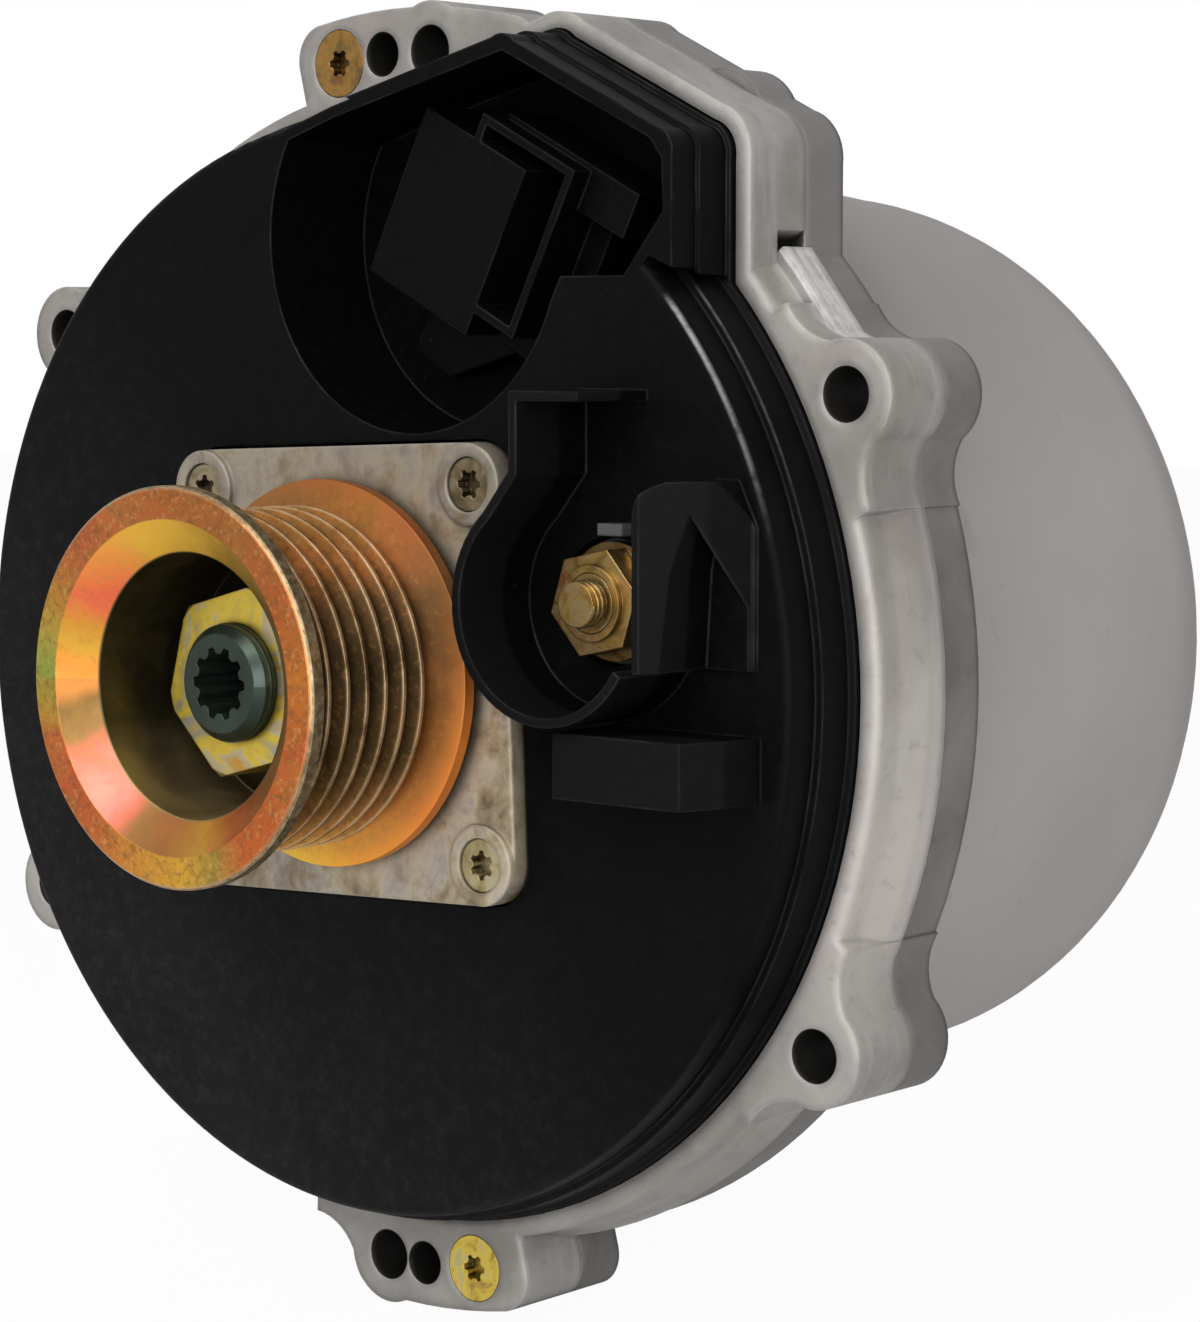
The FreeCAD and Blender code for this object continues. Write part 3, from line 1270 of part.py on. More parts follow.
make_end_shield()
make_rear_housing()
make_front_cover()
make_bearing_plate()
make_plate_screws()
make_case_screws()
make_pulley()
make_pulley_nut()
make_shaft()
make_ring("pulley_spacer", d.shaft_radius + d.seat_gap / 2, as_size(12), PULLEY_BACK, HUB_FACE)
front_bore = d.shaft_radius + d.seat_gap / 2
make_bearing("front_bearing", front_bore, d.front_bearing_radius, HUB_FACE, FRONT_BEARING_BACK,
             d.front_race_wall, d.front_ball_radius, d.front_ball_count)
make_bearing("rear_bearing", d.shaft_rear_radius + d.seat_gap / 2, d.rear_bearing_radius, REAR_BEARING_FRONT,
             REAR_BEARING_BACK, d.rear_race_wall, d.rear_ball_radius, d.rear_ball_count)
make_ring("rear_bearing_sleeve", d.rear_bearing_radius + d.seat_gap,
          d.rear_bearing_radius + d.seat_gap + d.sleeve_wall,
          REAR_BEARING_FRONT, REAR_BEARING_BACK)
make_claw_pole("front_claw_pole", True)
make_claw_pole("rear_claw_pole", False)
make_coil()
make_stator()
make_slip_rings()
make_brush_gear()
make_rectifier()
make_terminal()
make_regulator()
make_connector()
seal = new_body("case_seal_ring")
section = new_sketch(seal, "section", "XY_Plane")
circle(section, SPIGOT_RADIUS - 1.05, SHIELD_BACK + 7.3, as_size(1.0))
torus = seal.newObject("PartDesign::Revolution", "ring")
torus.Profile = section
torus.ReferenceAxis = (section, ["V_Axis"])
torus.Angle = 360
finish(seal, torus, True)


def check_bodies():
    """Stops where an object failed or a sub-part has no valid shape."""
    for item in doc.Objects:
        if "Invalid" in item.State or "Error" in item.State:
            raise RuntimeError("%s failed: %s" % (item.Name, item.State))
    for body in bodies:
        if body.Shape.isNull() or not body.Shape.isValid():
            raise RuntimeError("%s has no valid shape" % body.Label)


doc.recompute()
check_bodies()
os.makedirs("parts", exist_ok=True)
for body in bodies:
    body.Shape.exportStep("parts/%s.step" % body.Label)
    print("%-28s %10.1f %d" % (body.Label, body.Shape.Volume, len(body.Shape.Solids)))
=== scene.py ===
"""Looks of a water-cooled alternator, laid out as an add-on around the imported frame."""

import math

import bmesh
import bpy
from mathutils import Matrix, Vector


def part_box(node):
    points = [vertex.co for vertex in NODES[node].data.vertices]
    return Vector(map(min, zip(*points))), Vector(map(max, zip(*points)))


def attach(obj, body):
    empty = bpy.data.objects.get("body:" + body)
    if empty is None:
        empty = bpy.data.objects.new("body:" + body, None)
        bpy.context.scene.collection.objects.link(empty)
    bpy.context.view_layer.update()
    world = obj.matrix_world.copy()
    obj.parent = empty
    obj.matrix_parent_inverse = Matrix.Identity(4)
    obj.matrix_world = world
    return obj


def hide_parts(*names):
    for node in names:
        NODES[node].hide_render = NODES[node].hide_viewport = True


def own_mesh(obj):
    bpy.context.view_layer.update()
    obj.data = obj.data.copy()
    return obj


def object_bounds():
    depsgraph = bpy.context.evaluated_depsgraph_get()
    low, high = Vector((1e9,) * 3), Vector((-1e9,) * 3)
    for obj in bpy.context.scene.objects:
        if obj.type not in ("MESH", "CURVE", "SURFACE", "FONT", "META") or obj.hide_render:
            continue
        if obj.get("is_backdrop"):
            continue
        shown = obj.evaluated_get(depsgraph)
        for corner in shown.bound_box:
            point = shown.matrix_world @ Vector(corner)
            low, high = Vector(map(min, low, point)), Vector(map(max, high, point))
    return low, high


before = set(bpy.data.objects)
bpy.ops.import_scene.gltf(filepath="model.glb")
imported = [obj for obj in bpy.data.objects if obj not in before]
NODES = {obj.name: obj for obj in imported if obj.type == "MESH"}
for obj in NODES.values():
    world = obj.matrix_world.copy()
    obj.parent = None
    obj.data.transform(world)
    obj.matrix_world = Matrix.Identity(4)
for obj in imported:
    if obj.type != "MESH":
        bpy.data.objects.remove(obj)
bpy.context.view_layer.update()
MM = 0.001

# Half the width over which one finish turns into the next
SHARP = 0.05 * MM
SOFT = 0.1 * MM

bl_info = {
    "name": "Alternator looks",
    "version": (1, 0),
    "blender": (4, 5, 0),
    "location": "3D View > Sidebar > Alternator",
    "description": "Finishes and small details of a water-cooled alternator",
    "category": "Object",
}


# Places on the CAD pieces that the finishes follow, from the origin on the shaft's axis
BOLT_CIRCLE = 87.2 * MM
BOLT_HOLES = tuple((27.0 + 60.0 * number, 3.6 * MM) for number in range(6))
DOWEL_HOLES = ((93.1, 3.1 * MM), (271.7, 3.1 * MM))
SHIELD_RIM_RADIUS = 85.15 * MM
MILLED_ANGLES = (32.4, 43.6)
MILLED_FRONT = -14.9 * MM
CUP_FLANGE_RADIUS = 80.5 * MM
CUP_SHADE_HEIGHT = (20.0 * MM, 75.0 * MM)
CUP_SHADE_DEPTH = (72.0 * MM, 97.0 * MM)
COVER_BEAD_RADIUS = 77.25 * MM
COVER_STEP_RADIUS = 79.0 * MM
COVER_STEP_FACE = -27.1 * MM
COVER_RAISED_FACE = -37.5 * MM
GREY_TAB = {"X": (47.0 * MM, 51.4 * MM), "Y": (-34.1 * MM, -32.2 * MM), "Z": (20.7 * MM, 22.6 * MM)}

# The pulley's radii, and depths from its front or its back
WEB_RADIUS = 17.9 * MM
WEB_DEPTH = 15.0 * MM
BORE_RADIUS = 18.25 * MM
GROOVE_ROOT_RADIUS = 21.6 * MM
CONE_RADIUS = 22.75 * MM
CONE_DEPTH = 4.5 * MM
GROOVE_CREST_RADIUS = 23.55 * MM
FLANGE_BAND = (24.5 * MM, 27.0 * MM)
FLANGE_DEPTH = 4.6 * MM
RIM_EDGE_RADIUS = 26.6 * MM
RIM_RADIUS = 26.95 * MM

# Threads: radius of the plain cylinder, pitch and depth
SHAFT_THREAD = (7.98 * MM, 1.0 * MM, 0.22 * MM)
STUD_THREAD = (2.98 * MM, 0.9 * MM, 0.2 * MM)

# Stage: each light's place, width, height and power, and how white the background looks
LIGHTS = {
    "key_light": ((0.16, -0.92, 0.80), 0.60, 0.60, 8.5),
    "side_light": ((0.86, -0.90, 0.10), 0.8, 0.8, 12.0),
    "top_light": ((0.05, 0.15, 1.1), 0.9, 0.6, 1.5),
}
LIT_POINT = (0.0, 0.02, 0.0)
FLOOR_GAP = 0.2 * MM
FLOOR_WHITE = 0.96
MIRRORED_WHITE = 0.65
ROOM_COLOUR = (1.0, 0.985, 0.97, 1.0)
ROOM_STRENGTH = 0.24


class AlternatorFinish(bpy.types.PropertyGroup):
    """Colours and roughness of the finishes."""

    casting_colour: bpy.props.FloatVectorProperty(
        name="Casting colour", description="Bare die-cast aluminium", subtype="COLOR", size=3,
        default=(0.315, 0.302, 0.285),
    )
    cup_colour: bpy.props.FloatVectorProperty(
        name="Cup colour", description="Smooth drawn aluminium", subtype="COLOR", size=3,
        default=(0.40, 0.377, 0.368),
    )
    cover_colour: bpy.props.FloatVectorProperty(
        name="Cover colour", description="Black moulded plastic", subtype="COLOR", size=3,
        default=(0.0013, 0.0013, 0.0014),
    )
    casting_roughness: bpy.props.FloatProperty(
        name="Casting roughness", description="Mean roughness of the casting", subtype="FACTOR",
        default=0.52, min=0, max=1,
    )
    cup_roughness: bpy.props.FloatProperty(
        name="Cup roughness", description="Mean roughness of the cup", subtype="FACTOR",
        default=0.50, min=0, max=1,
    )
    cover_roughness: bpy.props.FloatProperty(
        name="Cover roughness", description="Mean roughness of the cover", subtype="FACTOR",
        default=0.50, min=0, max=1,
    )
    casting_edge: bpy.props.FloatProperty(
        name="Casting edge", description="Rounding of the casting's edges", subtype="DISTANCE",
        unit="LENGTH", default=1.9 * MM,
    )
    cover_edge: bpy.props.FloatProperty(
        name="Cover edge", description="Rounding of the cover's edges", subtype="DISTANCE", unit="LENGTH",
        default=0.6 * MM,
    )


class AlternatorStage(bpy.types.PropertyGroup):
    """Camera, floor and lights."""

    camera_place: bpy.props.FloatVectorProperty(
        name="Camera place", description="Where the camera stands", subtype="TRANSLATION",
        unit="LENGTH", size=3, default=(0.3544, -0.3936, 0.0470),
    )
    camera_target: bpy.props.FloatVectorProperty(
        name="Camera target", description="Point that the camera looks at", subtype="TRANSLATION",
        unit="LENGTH", size=3, default=(0.0, 0.0212, 0.0),
    )
    camera_lens: bpy.props.FloatProperty(
        name="Lens", description="Focal length in millimetres", unit="CAMERA", default=97.74
    )
    shift_x: bpy.props.FloatProperty(name="Shift X", description="Sideways framing", default=0.0018)
    shift_y: bpy.props.FloatProperty(name="Shift Y", description="Upward framing", default=-0.0116)
    floor_size: bpy.props.FloatProperty(
        name="Floor size", description="Side of the floor", subtype="DISTANCE", unit="LENGTH", default=6.0
    )
    floor_colour: bpy.props.FloatVectorProperty(
        name="Floor colour", description="Pale floor", subtype="COLOR", size=3,
        default=(0.86, 0.86, 0.86),
    )


def nodes_of(material):
    tree = material.node_tree
    return tree.nodes, tree.links


def start_material(name, colour, metallic, roughness):
    """A material with its shader; the uniform values sit on the shader's own sockets."""
    material = bpy.data.materials.new(name)
    material.use_nodes = True
    shader = material.node_tree.nodes["Principled BSDF"]
    shader.inputs["Base Color"].default_value = (*colour, 1.0)
    shader.inputs["Metallic"].default_value = metallic
    shader.inputs["Roughness"].default_value = roughness
    material.diffuse_color = (*colour, 1.0)
    return material, shader


def object_space(material, scale=(1.0, 1.0, 1.0)):
    """Object coordinates through a Mapping node."""
    nodes, links = nodes_of(material)
    source = nodes.new("ShaderNodeTexCoord")
    mapping = nodes.new("ShaderNodeMapping")
    mapping.inputs["Scale"].default_value = scale
    links.new(source.outputs["Object"], mapping.inputs["Vector"])
    return mapping.outputs["Vector"]


def noise(material, vector, scale, detail=4.0, roughness=0.55, distortion=0.0):
    """Fractal noise between about zero and one; the scale is in waves per metre."""
    nodes, links = nodes_of(material)
    node = nodes.new("ShaderNodeTexNoise")
    node.inputs["Scale"].default_value = scale
    node.inputs["Detail"].default_value = detail
    node.inputs["Roughness"].default_value = roughness
    node.inputs["Distortion"].default_value = distortion
    links.new(vector, node.inputs["Vector"])
    return node.outputs["Fac"]


def spread(material, value, low, high, source_low=0.3, source_high=0.7):
    """A value spread over a new range, clamped at both ends."""
    nodes, links = nodes_of(material)
    node = nodes.new("ShaderNodeMapRange")
    node.inputs["From Min"].default_value = source_low
    node.inputs["From Max"].default_value = source_high
    node.inputs["To Min"].default_value = low
    node.inputs["To Max"].default_value = high
    links.new(value, node.inputs["Value"])
    return node.outputs["Result"]


def ramp(material, value, stops):
    """A colour ramp through (position, colour) stops."""
    nodes, links = nodes_of(material)
    node = nodes.new("ShaderNodeValToRGB")
    band = node.color_ramp
    while len(band.elements) < len(stops):
        band.elements.new(0.5)
    for element, (place, colour) in zip(band.elements, stops):
        element.position = place
        element.color = (*colour, 1.0)
    links.new(value, node.inputs["Fac"])
    return node.outputs["Color"]


def blend_colours(material, factor, first, second):
    """The first colour at a factor of zero and the second at one."""
    nodes, links = nodes_of(material)
    node = nodes.new("ShaderNodeMix")
    node.data_type = "RGBA"
    for socket, value in ((node.inputs[0], factor), (node.inputs[6], first), (node.inputs[7], second)):
        if isinstance(value, (int, float)):
            socket.default_value = value
        elif isinstance(value, tuple):
            socket.default_value = (*value, 1.0)
        else:
            links.new(value, socket)
    return node.outputs[2]


def stained(material, colour, tint, pattern, strength, start, full):
    """A colour with a tint over it, from nothing at one level of a pattern to the strength at another."""
    return blend_colours(material, spread(material, pattern, 0.0, strength, start, full), colour, tint)


def calculate(material, operation, first, second=0.0):
    nodes, links = nodes_of(material)
    node = nodes.new("ShaderNodeMath")
    node.operation = operation
    for socket, value in zip(node.inputs, (first, second)):
        if isinstance(value, (int, float)):
            socket.default_value = value
        else:
            links.new(value, socket)
    return node.outputs[0]


def multiply(material, first, second):
    return calculate(material, "MULTIPLY", first, second)


def inverse(material, share):
    """What is left of one beside a share."""
    return calculate(material, "SUBTRACT", 1.0, share)


def axis_value(material, vector, axis):
    nodes, links = nodes_of(material)
    node = nodes.new("ShaderNodeSeparateXYZ")
    links.new(vector, node.inputs["Vector"])
    return node.outputs[axis]


def rounded_normal(material, radius):
    """The surface's normal with its edges rounded to a radius."""
    soft = material.node_tree.nodes.new("ShaderNodeBevel")
    soft.samples = 6
    soft.inputs["Radius"].default_value = radius
    return soft.outputs["Normal"]


def relief(material, shader, height, strength, distance, edge):
    """A bump over a surface with its edges rounded."""
    nodes, links = nodes_of(material)
    bump = nodes.new("ShaderNodeBump")
    bump.inputs["Strength"].default_value = strength
    bump.inputs["Distance"].default_value = distance
    links.new(height, bump.inputs["Height"])
    links.new(rounded_normal(material, edge), bump.inputs["Normal"])
    links.new(bump.outputs["Normal"], shader.inputs["Normal"])


def edge_share(material, radius):
    """One on edges and zero on flat faces, from how far the rounded normal leans."""
    nodes, links = nodes_of(material)
    plain = nodes.new("ShaderNodeNewGeometry")
    lean = nodes.new("ShaderNodeVectorMath")
    lean.operation = "DOT_PRODUCT"
    links.new(plain.outputs["Normal"], lean.inputs[0])
    links.new(rounded_normal(material, radius), lean.inputs[1])
    return spread(material, inverse(material, lean.outputs["Value"]), 0.0, 1.0, 0.02, 0.18)


def hollow_share(material, reach, dark, clear):
    """One deep in holes and narrow corners and zero in the open."""
    node = material.node_tree.nodes.new("ShaderNodeAmbientOcclusion")
    node.samples = 8
    node.inputs["Distance"].default_value = reach
    return inverse(material, spread(material, node.outputs["AO"], 0.0, 1.0, dark, clear))


def step_at(material, value, place, softness):
    """Zero below a place and one above it, with a soft edge."""
    return spread(material, value, 0.0, 1.0, place - softness, place + softness)


def ahead_of(material, value, place, softness):
    """One below a place and zero above it, with a soft edge."""
    return inverse(material, step_at(material, value, place, softness))


def between(material, value, low, high, softness):
    """One between two places and zero outside them, with soft edges."""
    above = step_at(material, value, low, softness)
    return multiply(material, above, ahead_of(material, value, high, softness))


def close_to(material, value, place, near, far):
    """One up to a near distance from a place, on both its sides, and zero from a far one on."""
    gap = calculate(material, "ABSOLUTE", calculate(material, "SUBTRACT", value, place))
    return inverse(material, spread(material, gap, 0.0, 1.0, near, far))


def around_shaft(material, space, wander=0.0):
    """Share of a turn about the shaft, from the left through below, and the distance from it."""
    x = axis_value(material, space, "X")
    z = axis_value(material, space, "Z")
    turn = calculate(material, "DIVIDE", calculate(material, "ARCTAN2", z, x), 2 * math.pi)
    turn = calculate(material, "ADD", turn, 0.5)
    if wander:
        shift = calculate(material, "SUBTRACT", noise(material, space, 60.0, 3.0, 0.6), 0.5)
        turn = calculate(material, "ADD", turn, multiply(material, shift, wander))
    squares = calculate(material, "ADD", multiply(material, x, x), multiply(material, z, z))
    return turn, calculate(material, "SQRT", squares)


def turn_at(degrees):
    """Share of a turn at an angle about the shaft: 0 is the right, 90 the top and 180 the left."""
    return degrees / 360.0 + 0.5


def turn_stops(stops):
    """Ramp stops from (degrees, colour) pairs."""
    return [(turn_at(degrees), colour) for degrees, colour in stops]


def in_ear_hole(material, space):
    """One on the walls of the holes through the ears and lugs, which are painted dark as shade."""
    x = axis_value(material, space, "X")
    z = axis_value(material, space, "Z")
    inside = 0.0
    for angle, radius in BOLT_HOLES + DOWEL_HOLES:
        across = calculate(material, "SUBTRACT", x, BOLT_CIRCLE * math.cos(math.radians(angle)))
        up = calculate(material, "SUBTRACT", z, BOLT_CIRCLE * math.sin(math.radians(angle)))
        squares = calculate(material, "ADD", multiply(material, across, across), multiply(material, up, up))
        here = ahead_of(material, calculate(material, "SQRT", squares), radius + SOFT, SHARP)
        inside = calculate(material, "MAXIMUM", here, inside)
    return inside


def casting_material(finish):
    """Die-cast aluminium: warm grey, mottled, with a blasted grain and rounded edges."""
    roughness = finish.casting_roughness
    material, shader = start_material("cast_aluminium_finish", finish.casting_colour, 0.40, roughness)
    shader.inputs["Specular Tint"].default_value = (0.6, 0.6, 0.6, 1.0)
    shader.inputs["Specular IOR Level"].default_value = 0.3
    links = material.node_tree.links
    space = object_space(material)
    patches = noise(material, space, 70.0, 6.0, 0.65)
    light = tuple(min(1.0, part * 1.12) for part in finish.casting_colour)
    dark = tuple(part * 0.82 for part in finish.casting_colour)
    colour = ramp(material, patches, [(0.38, dark), (0.62, light)])
    stains = noise(material, space, 22.0, 4.0, 0.6, 0.8)
    colour = stained(material, colour, (0.175, 0.155, 0.135), stains, 0.6, 0.46, 0.72)
    rosy = noise(material, object_space(material, (20.0, 60.0, 20.0)), 1.0, 3.0, 0.6)
    colour = stained(material, colour, (0.34, 0.285, 0.275), rosy, 0.35, 0.5, 0.75)
    height = axis_value(material, space, "Z")
    # Painted light: a lighter band low down on the casting, strongest between about -32 mm and -20 mm in
    # height
    low = spread(material, height, 1.0, 0.0, -20.0 * MM, 20.0 * MM)
    low = multiply(material, low, step_at(material, height, -40.0 * MM, 8.0 * MM))
    colour = blend_colours(material, multiply(material, low, 0.70), colour, (0.54, 0.50, 0.475))
    fine = noise(material, space, 420.0, 4.0, 0.7)
    colour = stained(material, colour, (0.16, 0.15, 0.14), fine, 0.35, 0.55, 0.75)
    streaks = noise(material, object_space(material, (25.0, 260.0, 25.0)), 1.0, 4.0, 0.65)
    colour = stained(material, colour, (0.50, 0.48, 0.46), streaks, 0.40, 0.50, 0.72)
    # Edges paler, partly edge wear and partly a painted highlight along them
    edge_breakup = spread(material, patches, 0.15, 0.7, 0.35, 0.65)
    pale_edges = multiply(material, edge_share(material, 0.9 * MM), edge_breakup)
    colour = blend_colours(material, pale_edges, colour, (0.60, 0.585, 0.565))
    # Painted shade: holes and narrow corners darkened, and the walls of the ear holes painted near black
    painted_hollow_shade = multiply(material, hollow_share(material, 7.0 * MM, 0.30, 0.62), 0.96)
    colour = blend_colours(material, painted_hollow_shade, colour, (0.012, 0.011, 0.010))
    painted_hole_shade = multiply(material, in_ear_hole(material, space), 0.97)
    colour = blend_colours(material, painted_hole_shade, colour, (0.010, 0.009, 0.008))
    links.new(colour, shader.inputs["Base Color"])
    links.new(spread(material, patches, roughness - 0.08, roughness + 0.10), shader.inputs["Roughness"])
    grain = noise(material, space, 1500.0, 3.0, 0.7)
    relief(material, shader, grain, 0.35, 0.10 * MM, finish.casting_edge)
    return material


def machined_material(finish):
    """The shield's casting with a milled patch on its rim, cut back to bright metal."""
    material = casting_material(finish)
    material.name = "cast_and_milled_finish"
    nodes, links = nodes_of(material)
    skin = nodes["Principled BSDF"].inputs["Base Color"]
    space = object_space(material)
    turn, reach = around_shaft(material, space)
    first, last = (turn_at(degrees) for degrees in MILLED_ANGLES)
    there = between(material, turn, first, last, 0.001)
    there = multiply(material, there, step_at(material, reach, SHIELD_RIM_RADIUS, SOFT))
    there = multiply(material, there, step_at(material, axis_value(material, space, "Y"), MILLED_FRONT, SOFT))
    cutter = noise(material, object_space(material, (60.0, 1600.0, 60.0)), 1.0, 2.0)
    scuffs = noise(material, space, 500.0, 4.0, 0.7)
    marks = calculate(material, "ADD", multiply(material, cutter, 0.4), multiply(material, scuffs, 0.6))
    milled = ramp(material, marks, [(0.36, (0.40, 0.38, 0.37)), (0.58, (0.60, 0.585, 0.57))])
    cast = skin.links[0].from_socket
    links.new(blend_colours(material, there, cast, milled), skin)
    return material


def cup_material(finish):
    """Smooth satin aluminium with faint clouds and a fine turning grain round the shaft."""
    roughness = finish.cup_roughness
    material, shader = start_material("cup_finish", finish.cup_colour, 0.15, roughness)
    shader.inputs["Specular Tint"].default_value = (0.30, 0.30, 0.30, 1.0)
    shader.inputs["Specular IOR Level"].default_value = 0.15
    links = material.node_tree.links
    space = object_space(material)
    clouds = noise(material, space, 16.0, 4.0, 0.55)
    pale = tuple(part * 1.06 for part in finish.cup_colour)
    deep = tuple(part * 0.90 for part in finish.cup_colour)
    colour = ramp(material, clouds, [(0.32, deep), (0.68, pale)])
    specks = noise(material, space, 260.0, 4.0, 0.7)
    colour = stained(material, colour, (0.22, 0.21, 0.205), specks, 0.35, 0.62, 0.78)
    reach = around_shaft(material, space)[1]
    flange = multiply(material, step_at(material, reach, CUP_FLANGE_RADIUS, 1.5 * MM), 0.92)
    stains = noise(material, space, 60.0, 5.0, 0.65, 0.5)
    cast = ramp(material, stains, [(0.35, (0.115, 0.11, 0.105)), (0.65, (0.185, 0.178, 0.17))])
    colour = blend_colours(material, flange, colour, cast)
    shade = (0.22, 0.212, 0.212)
    colour = stained(material, colour, shade, axis_value(material, space, "Z"), 0.54, *CUP_SHADE_HEIGHT)
    colour = stained(material, colour, shade, axis_value(material, space, "Y"), 0.58, *CUP_SHADE_DEPTH)
    spots = noise(material, space, 45.0, 3.0, 0.5)
    colour = stained(material, colour, (0.20, 0.18, 0.165), spots, 0.45, 0.70, 0.78)
    # Painted shade: hollows and narrow corners on the flange darkened, and the ear holes painted near black
    painted_hollow_shade = multiply(material, hollow_share(material, 7.0 * MM, 0.30, 0.62), 0.9)
    painted_hollow_shade = multiply(material, painted_hollow_shade, flange)
    painted_hollow_shade = calculate(material, "MAXIMUM", painted_hollow_shade, in_ear_hole(material, space))
    colour = blend_colours(material, painted_hollow_shade, colour, (0.014, 0.013, 0.012))
    links.new(colour, shader.inputs["Base Color"])
    links.new(spread(material, clouds, roughness - 0.04, roughness + 0.06), shader.inputs["Roughness"])
    grain = noise(material, object_space(material, (40.0, 1100.0, 40.0)), 1.0, 3.0)
    relief(material, shader, grain, 0.10, 0.02 * MM, finish.casting_edge)
    return material


def cover_shine(material, space):
    """Broken highlight along the bead and the step of the cover's skirt, at the upper right."""
    turn, reach = around_shaft(material, space)
    depth = axis_value(material, space, "Y")
    bead = close_to(material, reach, COVER_BEAD_RADIUS, SHARP, 0.38 * MM)
    step = close_to(material, reach, COVER_STEP_RADIUS, SHARP, 0.35 * MM)
    step = multiply(material, step, close_to(material, depth, COVER_STEP_FACE, SOFT, 0.4 * MM))
    shine = calculate(material, "MAXIMUM", bead, multiply(material, step, 0.35))
    shine = multiply(material, shine, spread(material, turn, 0.0, 1.0, turn_at(16), turn_at(38)))
    shine = multiply(material, shine, spread(material, turn, 1.0, 0.0, turn_at(41), turn_at(43)))
    broken = spread(material, noise(material, space, 420.0, 4.0, 0.7), 0.3, 1.0, 0.35, 0.55)
    return multiply(material, shine, broken)


def on_grey_tab(material, space):
    """One inside the box of the small grey tab above the terminal."""
    share = 1.0
    for axis, (low, high) in GREY_TAB.items():
        place = axis_value(material, space, axis)
        share = multiply(material, between(material, place, low, high, SHARP), share)
    return share


def cover_material(finish):
    """Black moulding with a spark-eroded grain, a little pale dust and painted sheen low down, painted
    highlights along its edges and bead, and glossier edges.
    """
    roughness = finish.cover_roughness
    material, shader = start_material("black_cover_finish", finish.cover_colour, 0.0, roughness)
    links = material.node_tree.links
    space = object_space(material)
    dust = noise(material, space, 30.0, 5.0, 0.7)
    # Dust and a painted sheen: paler towards the lower left of the cover
    sloping = calculate(material, "ADD", axis_value(material, space, "Z"), axis_value(material, space, "X"))
    low = spread(material, sloping, 1.0, 0.0, -95.0 * MM, 5.0 * MM)
    dust_and_sheen = multiply(material, spread(material, dust, 0.45, 1.0, 0.35, 0.7), low)
    colour = blend_colours(material, dust_and_sheen, finish.cover_colour[:], (0.0125, 0.0115, 0.0125))
    raised = ahead_of(material, axis_value(material, space, "Y"), COVER_RAISED_FACE, 0.5 * MM)
    colour = blend_colours(material, multiply(material, raised, 0.55), colour, (0.0070, 0.0070, 0.0072))
    mottle = spread(material, noise(material, space, 480.0, 5.0, 0.8), 0.0, 0.55, 0.48, 0.70)
    mottle = multiply(material, mottle, calculate(material, "ADD", low, 0.15))
    colour = blend_colours(material, mottle, colour, (0.022, 0.021, 0.022))
    flecks = noise(material, space, 900.0, 2.0, 0.5)
    colour = stained(material, colour, (0.05, 0.048, 0.045), flecks, 0.25, 0.74, 0.82)
    # Painted highlight: edges lighter, broken up by noise; the same edges also get a higher specular level
    edge_breakup = spread(material, noise(material, space, 90.0, 4.0, 0.6), 0.15, 1.0, 0.40, 0.62)
    edges = multiply(material, edge_share(material, 0.55 * MM), edge_breakup)
    colour = blend_colours(material, multiply(material, edges, 0.30), colour, (0.040, 0.040, 0.040))
    shine = multiply(material, cover_shine(material, space), 0.8)
    colour = blend_colours(material, shine, colour, (0.34, 0.33, 0.32))
    colour = blend_colours(material, on_grey_tab(material, space), colour, (0.085, 0.085, 0.09))
    links.new(colour, shader.inputs["Base Color"])
    links.new(spread(material, dust, roughness - 0.06, roughness + 0.10), shader.inputs["Roughness"])
    links.new(spread(material, edges, 0.06, 0.22, 0.0, 1.0), shader.inputs["Specular IOR Level"])
    grain = noise(material, space, 1300.0, 4.0, 0.7)
    relief(material, shader, grain, 0.30, 0.08 * MM, finish.cover_edge)
    return material


FACE_FILM = (
    (-180, (0.36, 0.29, 0.045)), (-170, (0.52, 0.28, 0.04)), (-160, (0.58, 0.12, 0.035)),
    (-135, (0.52, 0.11, 0.035)), (-118, (0.56, 0.19, 0.04)), (-104, (0.62, 0.28, 0.04)),
    (-88, (0.66, 0.37, 0.04)), (-74, (0.40, 0.28, 0.05)), (-58, (0.55, 0.125, 0.03)),
    (-20, (0.50, 0.11, 0.03)), (5, (0.54, 0.175, 0.03)), (30, (0.46, 0.115, 0.03)),
    (60, (0.38, 0.135, 0.035)), (85, (0.42, 0.13, 0.032)), (108, (0.52, 0.14, 0.04)),
    (135, (0.48, 0.12, 0.04)), (152, (0.50, 0.24, 0.04)), (163, (0.48, 0.33, 0.05)),
    (174, (0.30, 0.34, 0.06)),
)
# Cone film by angle; the stops from -151 to -119 hold a painted pink highlight, and the darker stops from -30
# to 40 a painted dark reflection
CONE_FILM_AND_REFLECTIONS = (
    (-180, (0.50, 0.19, 0.045)), (-172, (0.16, 0.085, 0.026)), (-158, (0.22, 0.12, 0.04)),
    (-151, (0.55, 0.13, 0.075)), (-140, (0.53, 0.14, 0.10)), (-128, (0.49, 0.165, 0.125)),
    (-119, (0.52, 0.14, 0.08)), (-112, (0.30, 0.15, 0.05)), (-96, (0.40, 0.16, 0.05)),
    (-80, (0.58, 0.33, 0.05)), (-62, (0.50, 0.15, 0.045)), (-30, (0.26, 0.12, 0.035)),
    (40, (0.20, 0.12, 0.035)), (74, (0.34, 0.22, 0.035)), (90, (0.56, 0.36, 0.035)),
    (108, (0.62, 0.34, 0.035)), (116, (0.66, 0.20, 0.05)), (130, (0.80, 0.15, 0.065)),
    (148, (0.80, 0.17, 0.07)), (156, (0.62, 0.28, 0.04)), (164, (0.58, 0.32, 0.04)),
    (174, (0.66, 0.23, 0.04)),
)
